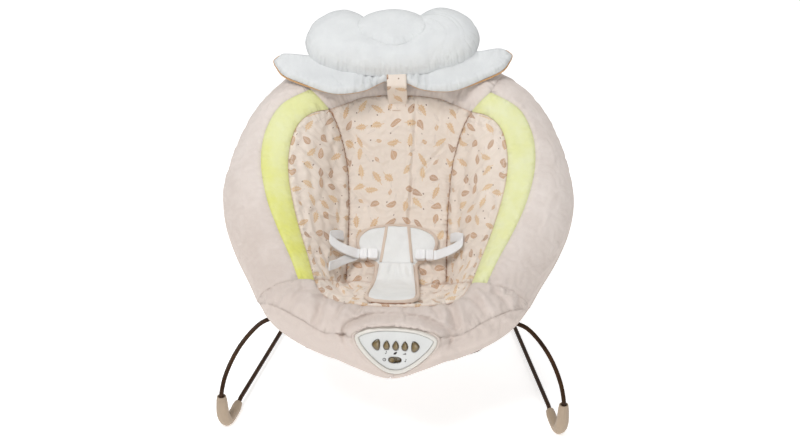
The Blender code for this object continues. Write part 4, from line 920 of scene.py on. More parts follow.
for word, way in SIDES:
    flip, turn = np.array([way, 1.0]), int(way)
    folds = SIDE_FOLDS if way > 0 else SIDE_FOLDS[2:]
    folds = [((a * way, b), (c * way, d), w, k) for (a, b), (c, d), w, k in folds]
    look = style(folds=folds, roll=0.01, tuck=0.0036, crown=0.003)
    panel("side_panel_cloth_" + word, side_grid * flip, PRINT, "side_panel_" + word, look, seed=11)
    panel("stripe_cloth_" + word, stripe_grid * flip, LIME, "stripe_" + word, channel, seed=13 + turn)
    name, grid = "bolster_cloth_" + word, bolster_grid * flip
    panel(name, grid, VELOUR, "bolster_" + word, bolster_roll, ("right",), seed=17 + turn)

# Front panel and skirts, puffed round the control unit
UNIT_CENTRE, UNIT_ASIDE = (-0.0653, 0.1939), 0.009
UNIT_TILT, UNIT_TURN = math.radians(20.7), math.radians(2.2)
unit_up = Vector((0.0, math.sin(UNIT_TILT), math.cos(UNIT_TILT)))
unit_out = Vector((0.0, -math.cos(UNIT_TILT), math.sin(UNIT_TILT)))
unit_right = Vector((1.0, 0.0, 0.0))
unit_across = unit_right * math.cos(UNIT_TURN) - unit_up * math.sin(UNIT_TURN)
unit_along = unit_up * math.cos(UNIT_TURN) + unit_right * math.sin(UNIT_TURN)
UNIT_AXES = np.array([unit_across, unit_along, unit_out])
UNIT_AT = np.array(Vector((UNIT_ASIDE, UNIT_CENTRE[0] + PLAN_SHIFT, UNIT_CENTRE[1])))
PICK_HALF = [
    (0.0, 0.0277), (0.026, 0.0262), (0.047, 0.0208), (0.0595, 0.012), (0.057, 0.0),
    (0.047, -0.0135), (0.032, -0.0275), (0.015, -0.0385), (0.0, -0.0416),
]
PICK = np.array(PICK_HALF[::-1] + [(-x, y) for x, y in PICK_HALF[1:-1]])


def unit_at(u, v, w):
    """Places in the row frame of points in the unit's own frame."""
    u, v, w = np.broadcast_arrays(*(np.asarray(a, float) for a in (u, v, w)))
    return UNIT_AT + np.stack([u, v, w], -1) @ UNIT_AXES


def outline_gap(outline, points):
    """Distance of flat points from a closed outline, negative inside it."""
    ends = np.roll(outline, -1, axis=0)
    out = np.full(len(points), 1e9)
    inside = np.zeros(len(points), bool)
    for p, q, e in zip(outline, ends, ends - outline):
        rel = points - p
        t = np.clip(rel @ e / (e @ e), 0, 1)
        out = np.minimum(out, np.linalg.norm(rel - t[:, None] * e, axis=1))
        cross = (p[1] > points[:, 1]) != (q[1] > points[:, 1])
        slope = p[0] + (points[:, 1] - p[1]) * e[0] / (e[1] if e[1] else 1e-12)
        inside ^= cross & (points[:, 0] < slope)
    return np.where(inside, -out, out)


def grown(outline, by):
    """A closed outline moved outwards by a distance."""
    before, after = np.roll(outline, 1, axis=0), np.roll(outline, -1, axis=0)
    along = unit(after - before)
    normal = np.stack([along[:, 1], -along[:, 0]], 1)
    area = np.sum(outline[:, 0] * after[:, 1] - after[:, 0] * outline[:, 1])
    return outline + normal * by * (1 if area > 0 else -1)


pick = smooth_line(PICK, 10, closed=True)
lower_seam = smooth_line(LOWER_SEAM, 16)
lower_seam = lower_seam[np.argsort(lower_seam[:, 0])]
front_columns = np.linspace(0.196, 0.0, steps(0.2) + 1)
low_half = np.stack([front_columns, np.interp(front_columns, *lower_seam.T)], 1)
front_top_line = np.vstack([bolster_low[::-1], stripe_end_low[-2::-1], mirrored(seat_half)[1:]])
top_run, low_run = run_along(front_top_line), run_along(low_half)
top_share = np.interp(low_run / low_run[-1], [0, 1], [0, top_run[-1]])
top_half = np.stack([np.interp(top_share, top_run, front_top_line[:, k]) for k in (0, 1)], 1)
top_half[:, 1] += 0.0012
front_grid = filled(both(low_half), both(top_half), steps(0.055))
rim_low = rim_full[rim_full[:, 1] < 0.125]
rim_low = rim_low[np.argsort(rim_low[:, 0])]


COLLAR, COLLAR_HEIGHT, CREASE_DEPTH, PLEAT_HEIGHT = 0.015, 0.0086, 0.0095, 0.0032
OPENING, OPENING_LOW, OPENING_HIGH = grown(pick, 0.001)[::3], -0.075, 0.06


def places_of(piece):
    """Places of a piece's points, one row each."""
    mesh = piece.data
    places = np.empty(len(mesh.vertices) * 3)
    mesh.vertices.foreach_get("co", places)
    return places.reshape(-1, 3)


def front_piece(name, grid, node, look, rims, seed):
    """A panel that swells into a collar round the control unit, with a crease and small pleats outside it."""
    piece = panel(name, grid, VELOUR, node, look, rims, seed)
    places = places_of(piece)
    u, v, w = ((places - UNIT_AT) @ UNIT_AXES.T).T
    gap = np.clip(outline_gap(pick, np.stack([u, v], 1)), 0, None)
    near = (w > -0.09) & (w < 0.06)
    above = np.clip((v + 0.03) / 0.03, 0.25, 1)
    sharp = np.clip((v + 0.016) / 0.022, 0, 1)
    collar = np.sin(math.pi * np.clip((gap + 0.002) / (COLLAR + 0.002), 0, 1)) ** 0.7
    crease = np.exp(-(((gap - COLLAR * 1.06) / 0.0036) ** 2)) * sharp
    crease = crease * (0.55 + 0.45 * np.clip(np.abs(u) / 0.05, 0, 1))
    around = np.arctan2(v, u) / (2 * math.pi)
    ribs = 1 + 0.18 * ripple(around * 22, 32) * sharp
    rays = ripple(around * 44, 38) * np.exp(-(((gap - COLLAR * 1.3) / 0.012) ** 2)) * sharp
    lift = (COLLAR_HEIGHT * collar * ribs - CREASE_DEPTH * crease + PLEAT_HEIGHT * rays) * above * near
    piece.data.vertices.foreach_set("co", (places + np.array(unit_out) * lift[:, None]).ravel())
    piece.data.update()
    return piece


look = style(
    gather=0.0024, pitch=0.013, run_in=0.016, crown=0.0045, lump=0.0018, slack=0.09, firm=0.42, folds=FRONT_FOLDS
)
round_unit = [front_piece("front_panel_cloth", front_grid, "front_panel", look, (), 23)]
skirt_columns = low_half[:, 0] * 0.975
skirt_rim = np.stack([skirt_columns, np.interp(skirt_columns, *rim_low.T)], 1)
share = np.sin(np.linspace(0, math.pi / 2, steps(0.04) + 1))[:, None, None]
skirt_grid = skirt_rim[None] * (1 - share) + low_half[None] * share
skirt_grid[:, -1, 0] = 0.0
look = style(gather=0.0018, pitch=0.018, run_in=0.012, crown=0.002, under=0.0085)
for word, way in SIDES:
    name, node, flip = "front_skirt_cloth_" + word, "front_skirt_" + word, [way, 1.0]
    round_unit.append(front_piece(name, skirt_grid * flip, node, look, ("low",), 29 + int(way)))


def cut_out(piece):
    """Takes the opening for the control unit out of a cloth piece."""
    points = np.vstack([unit_at(*OPENING.T, w) for w in (OPENING_LOW, OPENING_HIGH)])
    cutter = mesh_piece("cutter", points, ring_faces(len(OPENING), 2), VELOUR, smooth=False)
    hole = piece.modifiers.new("opening", "BOOLEAN")
    hole.operation = "DIFFERENCE"
    hole.solver = "MANIFOLD"
    hole.object = cutter
    apply_modifiers(piece)
    bpy.data.objects.remove(cutter)


def apply_modifiers(piece):
    """Writes the modified mesh back to the piece."""
    bpy.context.view_layer.update()
    graph = bpy.context.evaluated_depsgraph_get()
    result = bpy.data.meshes.new_from_object(piece.evaluated_get(graph))
    piece.modifiers.clear()
    piece.data = result
    result.shade_smooth()


def settle(jobs, frames=24, cap=0.009):
    """Lets the sewn panels swell and wrinkle as cloth held at their seams, then keeps that form."""
    rest = {}
    for piece, held, pressure, slack in jobs:
        rest[piece] = places_of(piece)
        group = piece.vertex_groups.new(name="held")
        for level in np.unique(np.round(held, 2)):
            if level > 0:
                group.add(np.flatnonzero(np.round(held, 2) == level).tolist(), float(level), "REPLACE")
        cloth = piece.modifiers.new("settle", "CLOTH")
        cloth.point_cache.frame_end = frames
        now = cloth.settings
        now.quality = 4
        now.mass = 0.25
        now.tension_stiffness = now.compression_stiffness = now.shear_stiffness = 40.0
        now.bending_stiffness = 0.05
        now.air_damping = 2.0
        now.vertex_group_mass = "held"
        now.pin_stiffness = 0.6
        now.shrink_min = -slack
        now.use_pressure = True
        now.uniform_pressure_force = pressure
        now.effector_weights.gravity = 0.0
        cloth.collision_settings.use_collision = False
    for frame_number in range(1, frames + 1):
        stage.frame_set(frame_number)
    graph = bpy.context.evaluated_depsgraph_get()
    moved = {piece: places_of(piece.evaluated_get(graph)) for piece in rest}
    for piece, before in rest.items():
        shift = moved[piece] - before
        size = np.linalg.norm(shift, axis=1)[:, None]
        shift *= np.tanh(size / cap) * cap / np.maximum(size, 1e-9)
        piece.modifiers.clear()
        piece.data.vertices.foreach_set("co", (before + shift).ravel())
        piece.data.update()
    stage.frame_set(1)


settle(to_settle)
for piece, *_ in to_settle:
    piece.modifiers.new("refine", "SUBSURF").levels = 1
    apply_modifiers(piece)
for piece in round_unit:
    cut_out(piece)


# Lining behind the pad and the binding round its rim
LINING_GAP, LINING_THICK, LINING_SHARE = 0.0012, 0.002, 0.996
WELT, FINE_WELT, STITCH = 0.0021, 0.0015, 0.0005


def lining():
    """The rear cover as one skin over the panels' back faces, a little inside the rim."""
    turns, rings = ((180, 40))
    angle = np.linspace(-math.pi, math.pi, turns, endpoint=False)
    radius = np.interp(np.arctan2(np.sin(angle), np.abs(np.cos(angle))), RIM_ANGLE, RIM_RADIUS)
    share = np.concatenate([[0.0], np.linspace(0.06, 1.0, rings - 1) ** 0.8])
    x = (share[:, None] * radius * np.cos(angle)) * LINING_SHARE
    s = PAD_MIDDLE + share[:, None] * radius * np.sin(angle) * LINING_SHARE
    wave = 0.0011 * lumps(x, s, 0.05, 71) + 0.0008 * lumps(x, s, 0.02, 72)
    high = back(x, s) - LINING_GAP
    low = high - LINING_THICK + np.minimum(wave, 0.0) * (1 - share[:, None] ** 8)
    low = low + 0.0014 * np.abs(share[:, None] ** 10)
    top, under = on_pad(x, s, high), on_pad(x, s, low)
    points = np.vstack([top.reshape(-1, 3), under.reshape(-1, 3)])
    half = rings * turns
    faces = ring_faces(turns, rings - 1, turns, ends=False)
    faces += [(a + half, d + half, c + half, b + half) for a, b, c, d in faces]
    edge = (rings - 2) * turns
    for j in range(turns):
        a, b = turns + j, turns + (j + 1) % turns
        faces += [(0, b, a), (half, a + half, b + half)]
        faces.append((a + edge, b + edge, b + edge + half, a + edge + half))
    cloth = np.stack([x, s, np.zeros_like(x)], -1).reshape(-1, 3)
    piece = mesh_piece("rear_cover_cloth", points, faces, LINING, np.vstack([cloth, cloth]))
    trim_loose(piece)
    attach(piece, "seat")
    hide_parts("rear_cover")
    return piece


def trim_loose(piece):
    """Deletes points that no face uses."""
    form = bmesh.new()
    form.from_mesh(piece.data)
    spare = [v for v in form.verts if not v.link_faces]
    bmesh.ops.delete(form, geom=spare, context="VERTS")
    form.to_mesh(piece.data)
    form.free()


def turning_frames(path, up):
    """Two directions square to a path at each of its points, the first nearest to up."""
    ahead = unit(np.gradient(path, axis=0))
    up = np.broadcast_to(np.asarray(up, float), path.shape)
    first = unit(up - ahead * np.sum(up * ahead, axis=1)[:, None])
    return first, np.cross(ahead, first)


def tube(name, path, radius, stuff, up=tuple(OUT), sides=10, closed=False, flat=1.0, filled=True):
    """A round or flattened tube along a path, with ends if it is filled."""
    path = np.asarray(path, float)
    if closed:
        long = np.vstack([path[-2:], path, path[:2]])
        first, second = (a[2:-2] for a in turning_frames(long, up))
    else:
        first, second = turning_frames(path, up)
    turn = np.linspace(0, 2 * math.pi, sides, endpoint=False)
    radius = np.broadcast_to(np.asarray(radius, float), (len(path),))[:, None, None]
    ring = first[:, None] * np.cos(turn)[None, :, None] * flat + second[:, None] * np.sin(turn)[None, :, None]
    points = (path[:, None] + ring * radius).reshape(-1, 3)
    count = len(path)
    faces = ring_faces(sides, count, closed=closed, ends=filled and not closed)
    around, run = np.tile(turn * float(radius.mean()), count), np.repeat(run_along(path), sides)
    return mesh_piece(name, points, faces, stuff, np.stack([around, run, np.zeros(count * sides)], 1))


def riding(piece, body="seat", node=None):
    """The piece, moving with a body and standing for a node if one is named."""
    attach(piece, body)
    if node:
        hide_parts(node)
    return piece


lining_piece = lining()
rim_loop = np.vstack([rim_full[::2], mirrored(rim_full[::2])[-2:0:-1]])
rim_loop = (rim_loop - [0, PAD_MIDDLE]) * 0.992 + [0, PAD_MIDDLE]
rim_path = on_pad(*rim_loop.T, back(*rim_loop.T) - LINING_GAP)
riding(tube("rim_binding", rim_path, WELT, VELOUR, sides=8, closed=True))

# Cloth sleeves that hold the back loop to the cover
LOOP_LEVEL = BACK_LEVEL - 0.0084
BACK_LOOP = [
    (0.0, 0.517, 0.0), (0.05, 0.516, 0.0), (0.098, 0.509, 0.0), (0.142, 0.487, 0.0), (0.172, 0.448, 0.0),
    (0.186, 0.4, 0.0), (0.188, 0.35, -0.001),
]
loop_half = on_pad(*(np.array(BACK_LOOP) + [0, 0, LOOP_LEVEL]).T)
loop_line = smooth_line(np.vstack([loop_half[:0:-1] * [-1, 1, 1], loop_half]), 12)


def loop_sleeve(word):
    """A puckered cloth sleeve round the part of the back loop where its node lies."""
    low, high = (np.array(c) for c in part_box("loop_sleeve_" + word))
    inside = np.all((loop_line > low - 0.0005) & (loop_line < high + 0.0005), axis=1)
    path = loop_line[inside]
    run = np.linspace(0, 1, len(path))
    wide = 0.0056 + 0.0004 * ripple(run * 5, 83) + 0.0008 * (np.abs(run - 0.5) > 0.46)
    sleeve = tube("loop_sleeve_cloth_" + word, path, wide, LINING, sides=16, filled=False)
    wall = sleeve.modifiers.new("wall", "SOLIDIFY")
    wall.thickness = 0.0008
    apply_modifiers(sleeve)
    riding(sleeve, node="loop_sleeve_" + word)


for word in ("left", "top", "right"):
    loop_sleeve(word)

# Crotch pad: rounded wings, a raised middle strip and a puffed flap, bound with wide tan tape
CROTCH_KNOTS = [
    (0.1085, 0.029), (0.1105, 0.0345), (0.115, 0.0384), (0.123, 0.0398), (0.15, 0.0382), (0.19, 0.0345),
    (0.215, 0.0322), (0.219, 0.0345), (0.227, 0.047), (0.235, 0.0575), (0.245, 0.063), (0.254, 0.0645),
    (0.263, 0.0625), (0.27, 0.057), (0.276, 0.047), (0.28, 0.034), (0.282, 0.02), (0.2826, 0.006),
]
CROTCH_THICK = 0.01
CROTCH_ENDS = (CROTCH_KNOTS[0][0], CROTCH_KNOTS[-1][0])
FLAP_TOP, TAPE = 0.2165, 0.0034


def crotch_floor(s):
    """Height of the pad below the crotch pad, with a little air."""
    lift = 0.0015 + 0.0035 * np.exp(-(((s - 0.188) / 0.03) ** 2))
    return front(np.zeros_like(np.asarray(s, float)), s) + lift


def crotch_rows(count):
    """Places up the crotch pad, closer together at its ends."""
    t = np.linspace(0, 1, count)
    low, high = CROTCH_ENDS
    return low + (high - low) * (0.4 * t + 0.6 * (0.5 - 0.5 * np.cos(math.pi * t)))


crotch_s = crotch_rows(90)
crotch_side = np.stack([eased(CROTCH_KNOTS, crotch_s), crotch_s], 1)
foot_half = CROTCH_KNOTS[0][1]
crotch_foot = np.stack([np.linspace(-foot_half, foot_half, 24), np.full(24, CROTCH_ENDS[0])], 1)
CROTCH_OUTLINE = np.vstack([crotch_side, mirrored(crotch_side)[::-1], crotch_foot[1:-1]])


def bowed(x, s):
    """The flap's lower end, rounded outwards."""
    u = np.clip(np.abs(x) / 0.04, 0, 1)
    return s - 0.005 * (1 - u**2) * np.clip((0.145 - s) / 0.03, 0, 1)


def strip_half(s):
    return np.interp(s, [FLAP_TOP, 0.282], [0.0245, 0.0168])


def crotch_high(x, s):
    """Height of the crotch pad's face above the pad plane."""
    x, s = np.broadcast_arrays(np.asarray(x, float), np.asarray(s, float))
    inside = -outline_gap(CROTCH_OUTLINE, np.stack([x.ravel(), s.ravel()], 1)).reshape(x.shape)
    edge = np.sqrt(1 - (1 - np.clip(inside / 0.013, 0, 1)) ** 2)
    step = np.clip((FLAP_TOP - s) / 0.002, 0, 1)
    raised = np.clip((strip_half(s) - np.abs(x)) / 0.003 + 0.5, 0, 1) * (1 - step)
    crown = CROTCH_THICK * (0.34 + 0.62 * edge) + 0.0046 * step * edge + 0.0024 * raised
    puff = 0.0009 * lumps(x, s, 0.034, 91) * edge
    tug = 0.0009 * np.sin(np.abs(x) * 620 + s * 120) * np.exp(-((s - 0.203) ** 2) / 0.00022) * step
    return crotch_floor(s) + crown + puff + tug


def crotch_cloth():
    rows, cols = ((130, 64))
    s = crotch_rows(rows)[:, None] * np.ones((1, cols))
    u = np.sin(np.linspace(-math.pi / 2, math.pi / 2, cols)) * 0.45 + np.linspace(-1, 1, cols) * 0.55
    x = eased(CROTCH_KNOTS, s[:, :1]) * u[None]
    top, low = (on_pad(x, bowed(x, s), high) for high in (crotch_high(x, s), crotch_floor(s)))
    return shell("crotch_pad_cloth", top, low, [], COTTON)


crotch = riding(crotch_cloth(), "seat", "crotch_pad")


def tape(name, line, half, lift, stuff=PIPING, flat=0.42, closed=False):
    """Flat sewn tape along a line on the crotch pad."""
    x, s = np.asarray(line, float).T
    path = on_pad(x, bowed(x, s), crotch_high(x, s) + lift)
    lean_x, lean_s = (
        np.clip((crotch_high(x + a, s + b) - crotch_high(x - a, s - b)) / 0.004, -1, 1)[:, None]
        for a, b in ((0.002, 0), (0, 0.002))
    )
    up = np.array(OUT) - lean_x * np.array([1.0, 0, 0]) - lean_s * np.array(ALONG)
    if closed:
        up = np.vstack([up[-2:], up, up[:2]])
    riding(tube(name, path, half, stuff, up=up, sides=12, flat=flat, closed=closed))


inner = (CROTCH_OUTLINE - [0, 0.2]) * [0.965, 0.986] + [0, 0.1995]
tape("crotch_binding", smooth_line(inner[::3], 3, closed=True), TAPE, 0.0, closed=True)
strip_s = np.linspace(FLAP_TOP + 0.001, 0.28, 24)
flap_s = np.linspace(0.115, FLAP_TOP - 0.003, 30)
flap_x = eased(CROTCH_KNOTS, flap_s) - 0.0048
for word, way in SIDES[::-1]:
    tape("crotch_piping_" + word, np.stack([strip_half(strip_s) * way, strip_s], 1), 0.0028, 0.0002)
    tape("crotch_flap_edge_" + word, np.stack([flap_x * way, flap_s], 1), 0.0007, 0.0004, THREAD, 0.8)
flap_line = np.stack([np.linspace(-0.03, 0.03, 24), np.full(24, FLAP_TOP - 0.0006)], 1)
# Painted shadow: a dark seam-coloured tube on the seat just below the flap's lower end stands in for the flap's
# shadow.
foot_x, foot_s = crotch_foot[:, 0], bowed(*crotch_foot.T) - 0.003
flap_shadow_path = on_pad(foot_x, foot_s, front(foot_x, foot_s) + 0.0006)
riding(tube("crotch_flap_shadow", flap_shadow_path, 0.0014, SEAM_THREAD_SHADE, flat=0.8))
tape("crotch_flap_seam", flap_line, 0.0009, 0.0, WHITE_THREAD, 0.8)


# Waist straps and the ribs of buckles and tongues
def ribbon(name, line, wide, thick, stuff, across, node):
    """Flat webbing along a line, with a slight curl and rounded edges."""
    path = smooth_line(np.array(line, float), 10)
    across = np.array(across, float)
    flat = unit(np.cross(unit(np.gradient(path, axis=0)), across))
    run = run_along(path)
    w = np.array([-1.0, -0.8, -0.4, 0.0, 0.4, 0.8, 1.0])
    curl, half = 0.0004 * (1 - w**2), thick / 2 * (1 - 0.5 * w**6)
    middle = path[:, None] + across * (w * wide / 2)[None, :, None]
    skins = (middle + flat[:, None] * high[None, :, None] for high in (curl + half, curl - half))
    points = np.vstack([skin.reshape(-1, 3) for skin in skins])
    cloth = np.stack(np.broadcast_arrays((w * wide / 2)[None], run[:, None], np.zeros((1, 1))), -1).reshape(-1, 3)
    piece = mesh_piece(name, points, shell_faces(len(path), len(w), 0), stuff, np.vstack([cloth, cloth]))
    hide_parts(node)
    return piece


BUCKLE_S = 0.23
BUCKLE_GAP, BUCKLE_HALF, TONGUE_HALF, RIB = 0.0003, 0.0042, 0.0034, 0.0007
BUCKLE_H = float(crotch_floor(BUCKLE_S)) + 0.89 * CROTCH_THICK + BUCKLE_GAP + BUCKLE_HALF
WEBBING_WIDE, STRAP_THICK = 0.016, 0.0016
WAIST_LINE = [
    (0.084, 0.262, float(front(0.084, 0.262)) + 0.0021), (0.093, 0.257, -0.083), (0.102, 0.249, -0.068),
    (0.101, 0.24, -0.064), (0.088, 0.233, -0.073), (0.073, 0.23, -0.083),
    (0.0625, 0.23, BUCKLE_H + 0.0012), (0.058, BUCKLE_S, BUCKLE_H),
]
TAIL_LINE = [
    (0.0595, 0.23, BUCKLE_H + 0.0002), (0.0605, 0.229, BUCKLE_H - 0.002), (0.068, 0.225, BUCKLE_H - 0.001),
    (0.082, 0.213, -0.082), (0.0925, 0.2, -0.066), (0.1, 0.19, -0.05),
]


def waist_piece(name, line, word, way, fixed, moved):
    """A waist strap piece along a line, baked into the row frame; the places where it would stay with the seat and
    go with the tongue are worked out but not used.
    """
    points = [on_pad(x * way, s, h) for x, s, h in line]
    node = "waist_strap_" + word
    piece = ribbon(name, points, WEBBING_WIDE, STRAP_THICK, WEB, ALONG, node)
    start, end = (tuple(on_pad(x * way, s, -0.075)) for x, s in (fixed, moved))
    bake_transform(piece)


for word, way in SIDES:
    waist_piece("waist_webbing_" + word, WAIST_LINE, word, way, (0.0985, 0.249), (0.073, 0.2305))
    if word == "left":
        waist_piece("waist_tail_left", TAIL_LINE, word, way, (0.095, 0.197), (0.068, 0.225))
    for label, spots, half, top, body in (
        ("buckle", (0.0325, 0.035, 0.0375, 0.04), 0.0064, BUCKLE_HALF, "seat"),
        ("grip", (0.049, 0.0515, 0.054), 0.0068, TONGUE_HALF, "tongue_" + word),
    ):
        for k, x in enumerate(spots):
            line = [on_pad(x * way, BUCKLE_S + t * half, BUCKLE_H + top) for t in np.linspace(-1, 1, 9)]
            riding(tube(f"{label}_rib_{word}_{k}", line, RIB, WHITE_PLASTIC, sides=8), body)

# Head support: leaf-shaped wings under a puffed roll round a middle pad
HEAD_ASIDE, HEAD_TURN, HEAD_PIVOT = -0.013, 0.045, 0.515


def on_head(x, s, h):
    """Places of points of the head support, which sits a little turned on the pad."""
    x, s = np.asarray(x, float), np.asarray(s, float) - HEAD_PIVOT
    turned_x = x * math.cos(HEAD_TURN) - s * math.sin(HEAD_TURN)
    turned_s = s * math.cos(HEAD_TURN) + x * math.sin(HEAD_TURN)
    return on_pad(turned_x + HEAD_ASIDE, turned_s + HEAD_PIVOT, h)


def hinged(piece, start=(0.469, 0.002), end=(0.488, 0.002)):
    """Bakes a head piece's placement into its points; the line from start to end along which its lower edge would
    lie on the pad is worked out but not used.
    """
    start, end = (tuple(on_head(0, s, h)) for s, h in (start, end))
    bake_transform(piece)


def puffed(name, grid, low, high, thick, node, seed, rounds, valleys=(), dip=0.0, gather=0.0012, pitch=0.012,
           run_in=0.014, roll=0.022, pleats=0.0):
    """A filled head piece over a grid, round at its rim, creased along its valleys and puckered at its seam."""
    x, s = grid[..., 0], grid[..., 1]
    gap, near, run, calm = border_walk(grid)
    t = np.clip(softened(edge_distance(grid, rounds)) / roll, 0, 1)
    puff = np.sqrt(1 - (1 - t) ** 2)
    hump_up, hump_across = (np.sin(np.linspace(0, math.pi, count)) for count in x.shape)
    broad = np.clip(hump_up[:, None] * hump_across[None], 0, 1) ** 0.5
    crown = thick * (0.92 * puff + 0.08 * broad)
    if valleys:
        crown = crown - dip * np.exp(-((edge_distance(grid, valleys) / 0.009) ** 1.2))
    wave = ripple(near / run * max(round(run / pitch), 3), seed)
    wave = wave * np.exp(-gap / run_in) * np.clip(gap / 0.003, 0, 1) * calm
    soft = lumps(x, s, 0.06, seed + 3) * 0.0014 * puff
    pleat = np.sin(np.abs(x) * 2 * math.pi / 0.0115) * np.exp(-(((np.abs(x) - 0.036) / 0.02) ** 2))
    pleat = pleats * pleat * np.clip((0.505 - s) / 0.025, 0, 1) * np.clip(gap / 0.004, 0, 1)
    top = on_head(x, s, high + crown + gather * wave + soft + pleat)
    under = on_head(x, s, low + 0.0005 * puff * ripple(near / run * 30, seed + 5))
    edge_top, edge_low = along_ring(top), along_ring(under)
    away = edge_top - edge_top.mean(axis=0)
    away = unit(away - np.outer(away @ np.array(OUT), np.array(OUT)))
    walls = [edge_top * (1 - k / 3) + edge_low * k / 3 + away * 0.0012 for k in (1, 2)]
    piece = shell(name, top, under, walls, FLEECE, [seed * 0.11, 0, 0], (gap, near, calm))
    if valleys:
        keep_seams(piece, edge_distance(grid, valleys) < 0.0005)
    if node == "head_wing_pad":
        hinged(piece)
    else:
        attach(piece, "head_support")
    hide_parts(node)


def arch(half, count):
    """A line over the middle of the pad, given from its middle outwards."""
    return both(spread(half, count)[::-1])


wing_low = [
    (0.0, 0.485), (0.013, 0.4838), (0.026, 0.4775), (0.045, 0.4682), (0.076, 0.4635), (0.102, 0.4665),
    (0.14, 0.483), (0.171, 0.499), (0.185, 0.518),
]
wing_high = [(0.0, 0.534), (0.04, 0.535), (0.08, 0.533), (0.124, 0.529), (0.158, 0.533), (0.179, 0.533)]
low_edge, high_edge = (arch(half, steps(0.2)) for half in (wing_low, wing_high))
tips = [
    spread([low_edge[k], (low_edge[k] + high_edge[k]) / 2 + [way * 0.0045, 0.0], high_edge[k]], steps(0.07))
    for k, way in ((0, -1), (-1, 1))
]
wing_grid = coons(low_edge, high_edge, *tips)
puffed(
    "head_wings", wing_grid, 0.0025, 0.005, 0.0075, "head_wing_pad", 41, ("low", "left", "right"),
    gather=0.0008, pitch=0.014, run_in=0.02, roll=0.008, pleats=0.0046,
)
lobe_out = [
    (0.0, 0.489), (0.042, 0.491), (0.078, 0.4985), (0.106, 0.509), (0.126, 0.522), (0.135, 0.54),
    (0.1365, 0.558), (0.128, 0.579), (0.106, 0.596), (0.082, 0.604), (0.061, 0.601), (0.043, 0.591),
]
lobe_in = [(0.0, 0.529), (0.016, 0.531), (0.035, 0.54), (0.0465, 0.5565), (0.047, 0.568), (0.04, 0.58)]
lobe_grid = filled(*(arch(half, steps(0.19)) for half in (lobe_out, lobe_in)), steps(0.075))
puffed(
    "head_roll", lobe_grid, 0.0105, 0.013, 0.037, "head_bolster", 43, ("low",), ("high", "left", "right"), 0.002,
    gather=0.0006, pitch=0.026, run_in=0.02, roll=0.036,
)
mid_low = [
    (-0.0535, 0.571), (-0.0525, 0.5545), (-0.0392, 0.5355), (0.0, 0.5232), (0.0392, 0.5355), (0.0525, 0.5545),
    (0.0535, 0.571),
]
mid_high = [(-0.0475, 0.587), (-0.035, 0.5955), (0.0, 0.601), (0.035, 0.5955), (0.0475, 0.587)]
mid_grid = filled(*(spread(line, steps(0.12)) for line in (mid_low, mid_high)), steps(0.05))
puffed(
    "head_middle", mid_grid, 0.014, 0.0165, 0.0335, "head_centre_pad", 47, ("high",), ("low", "left", "right"),
    0.0022, gather=0.0003, pitch=0.012, roll=0.03,
)
wing_edge = along_ring(wing_grid)
tip_share = np.clip((np.abs(wing_edge[:, 0]) - 0.1) / 0.04, 0, 1)
outwards = np.tanh((wing_edge[:, 1] - 0.515) / 0.01) * (-0.0012 + 0.0026 * tip_share)
wing_path = on_head(wing_edge[:, 0] * (0.992 + 0.014 * tip_share), wing_edge[:, 1] + outwards, 0.0016)
hinged(tube("head_wing_binding", wing_path, FINE_WELT, ORANGE, sides=8, closed=True))

# Strap that carries the head support
HEAD_STRAP_WIDE, HEAD_STRAP_THICK, STRAP_ASIDE = 0.031, 0.002, 0.006
head_line = [(s, float(front(HEAD_ASIDE, s)) + 0.0017) for s in (0.456, 0.464, 0.468)]
head_line += [
    (0.4712, -0.024), (0.4718, -0.01), (0.472, 0.001), (0.4736, 0.0068), (0.4782, 0.0104), (0.4822, 0.0126),
    (0.4862, 0.0136), (0.49, 0.0138),
]
head_path = [on_head(STRAP_ASIDE, s, h) for s, h in head_line]
strap = ribbon(
    "head_strap_cloth", head_path, HEAD_STRAP_WIDE, HEAD_STRAP_THICK, PRINT, (1.0, 0.0, 0.0),
    "head_strap",
)
hinged(strap, (0.4705, -0.006), (0.4812, 0.012))
box_corners = np.array([(-0.0125, 0.4668), (-0.0125, 0.4585), (0.0125, 0.4585), (0.0125, 0.4668)])
box = np.vstack([np.linspace(a, b, 12)[:-1] for a, b in zip(box_corners, box_corners[1:])])
box_path = on_head(box[:, 0] + STRAP_ASIDE, box[:, 1], front(HEAD_ASIDE, box[:, 1]) + 0.003)
riding(tube("strap_stitching", box_path, STITCH, THREAD, sides=6))

# Domed buttons, the cover that slides with the switch, and plain marks on the face
ARROW = np.array(
    [(0.0066, 0.0), (0.002, 0.0066), (-0.0035, 0.0074), (-0.0052, 0.0), (-0.0035, -0.0074), (0.002, -0.0066)]
)
DROP = np.array([(0.0, 0.0072), (-0.0034, 0.003), (-0.0047, -0.0018), (-0.003, -0.0056), (0.0, -0.0066)])
DROP = np.vstack([DROP, DROP[-2:0:-1] * [-1, 1]])
SWITCH_V, SWITCH_AT = -0.0208, -0.0045
FACE_LEVEL = 0.002


def oval(across, up, count=40, power=2.3):
    """A closed oval, squarer with more power."""
    turn = np.linspace(0, 2 * math.pi, count, endpoint=False)
    waves = ((across, np.cos(turn)), (up, np.sin(turn)))
    return np.stack([size * np.sign(w) * np.abs(w) ** (2 / power) for size, w in waves], 1)


def capped(name, outline, place, levels, body, node=None):
    """A moulded cap: rings of an outline at shares of its size and heights over the face, closed at both ends."""
    rings = [unit_at(*(outline * share + place).T, w) for share, w in levels]
    count = len(outline)
    tip = unit_at([place[0]], [place[1]], levels[-1][1] + 0.0001)
    points = np.vstack(rings + [tip])
    shares = np.concatenate([np.full(count, share) for share, _ in levels] + [[0.0]])
    # Each ring's share of the cap's size goes into the seam attribute, from which the button material paints its
    # highlight.
    seam = np.stack([shares, shares * 0, shares * 0], 1)
    last = count * (len(rings) - 1)
    faces = ring_faces(count, len(rings), ends=False)
    faces += [(last + k, last + (k + 1) % count, len(points) - 1) for k in range(count)]
    faces.append(tuple(range(count))[::-1])
    riding(mesh_piece(name, points, faces, OLIVE, points, seam=seam), body, node)


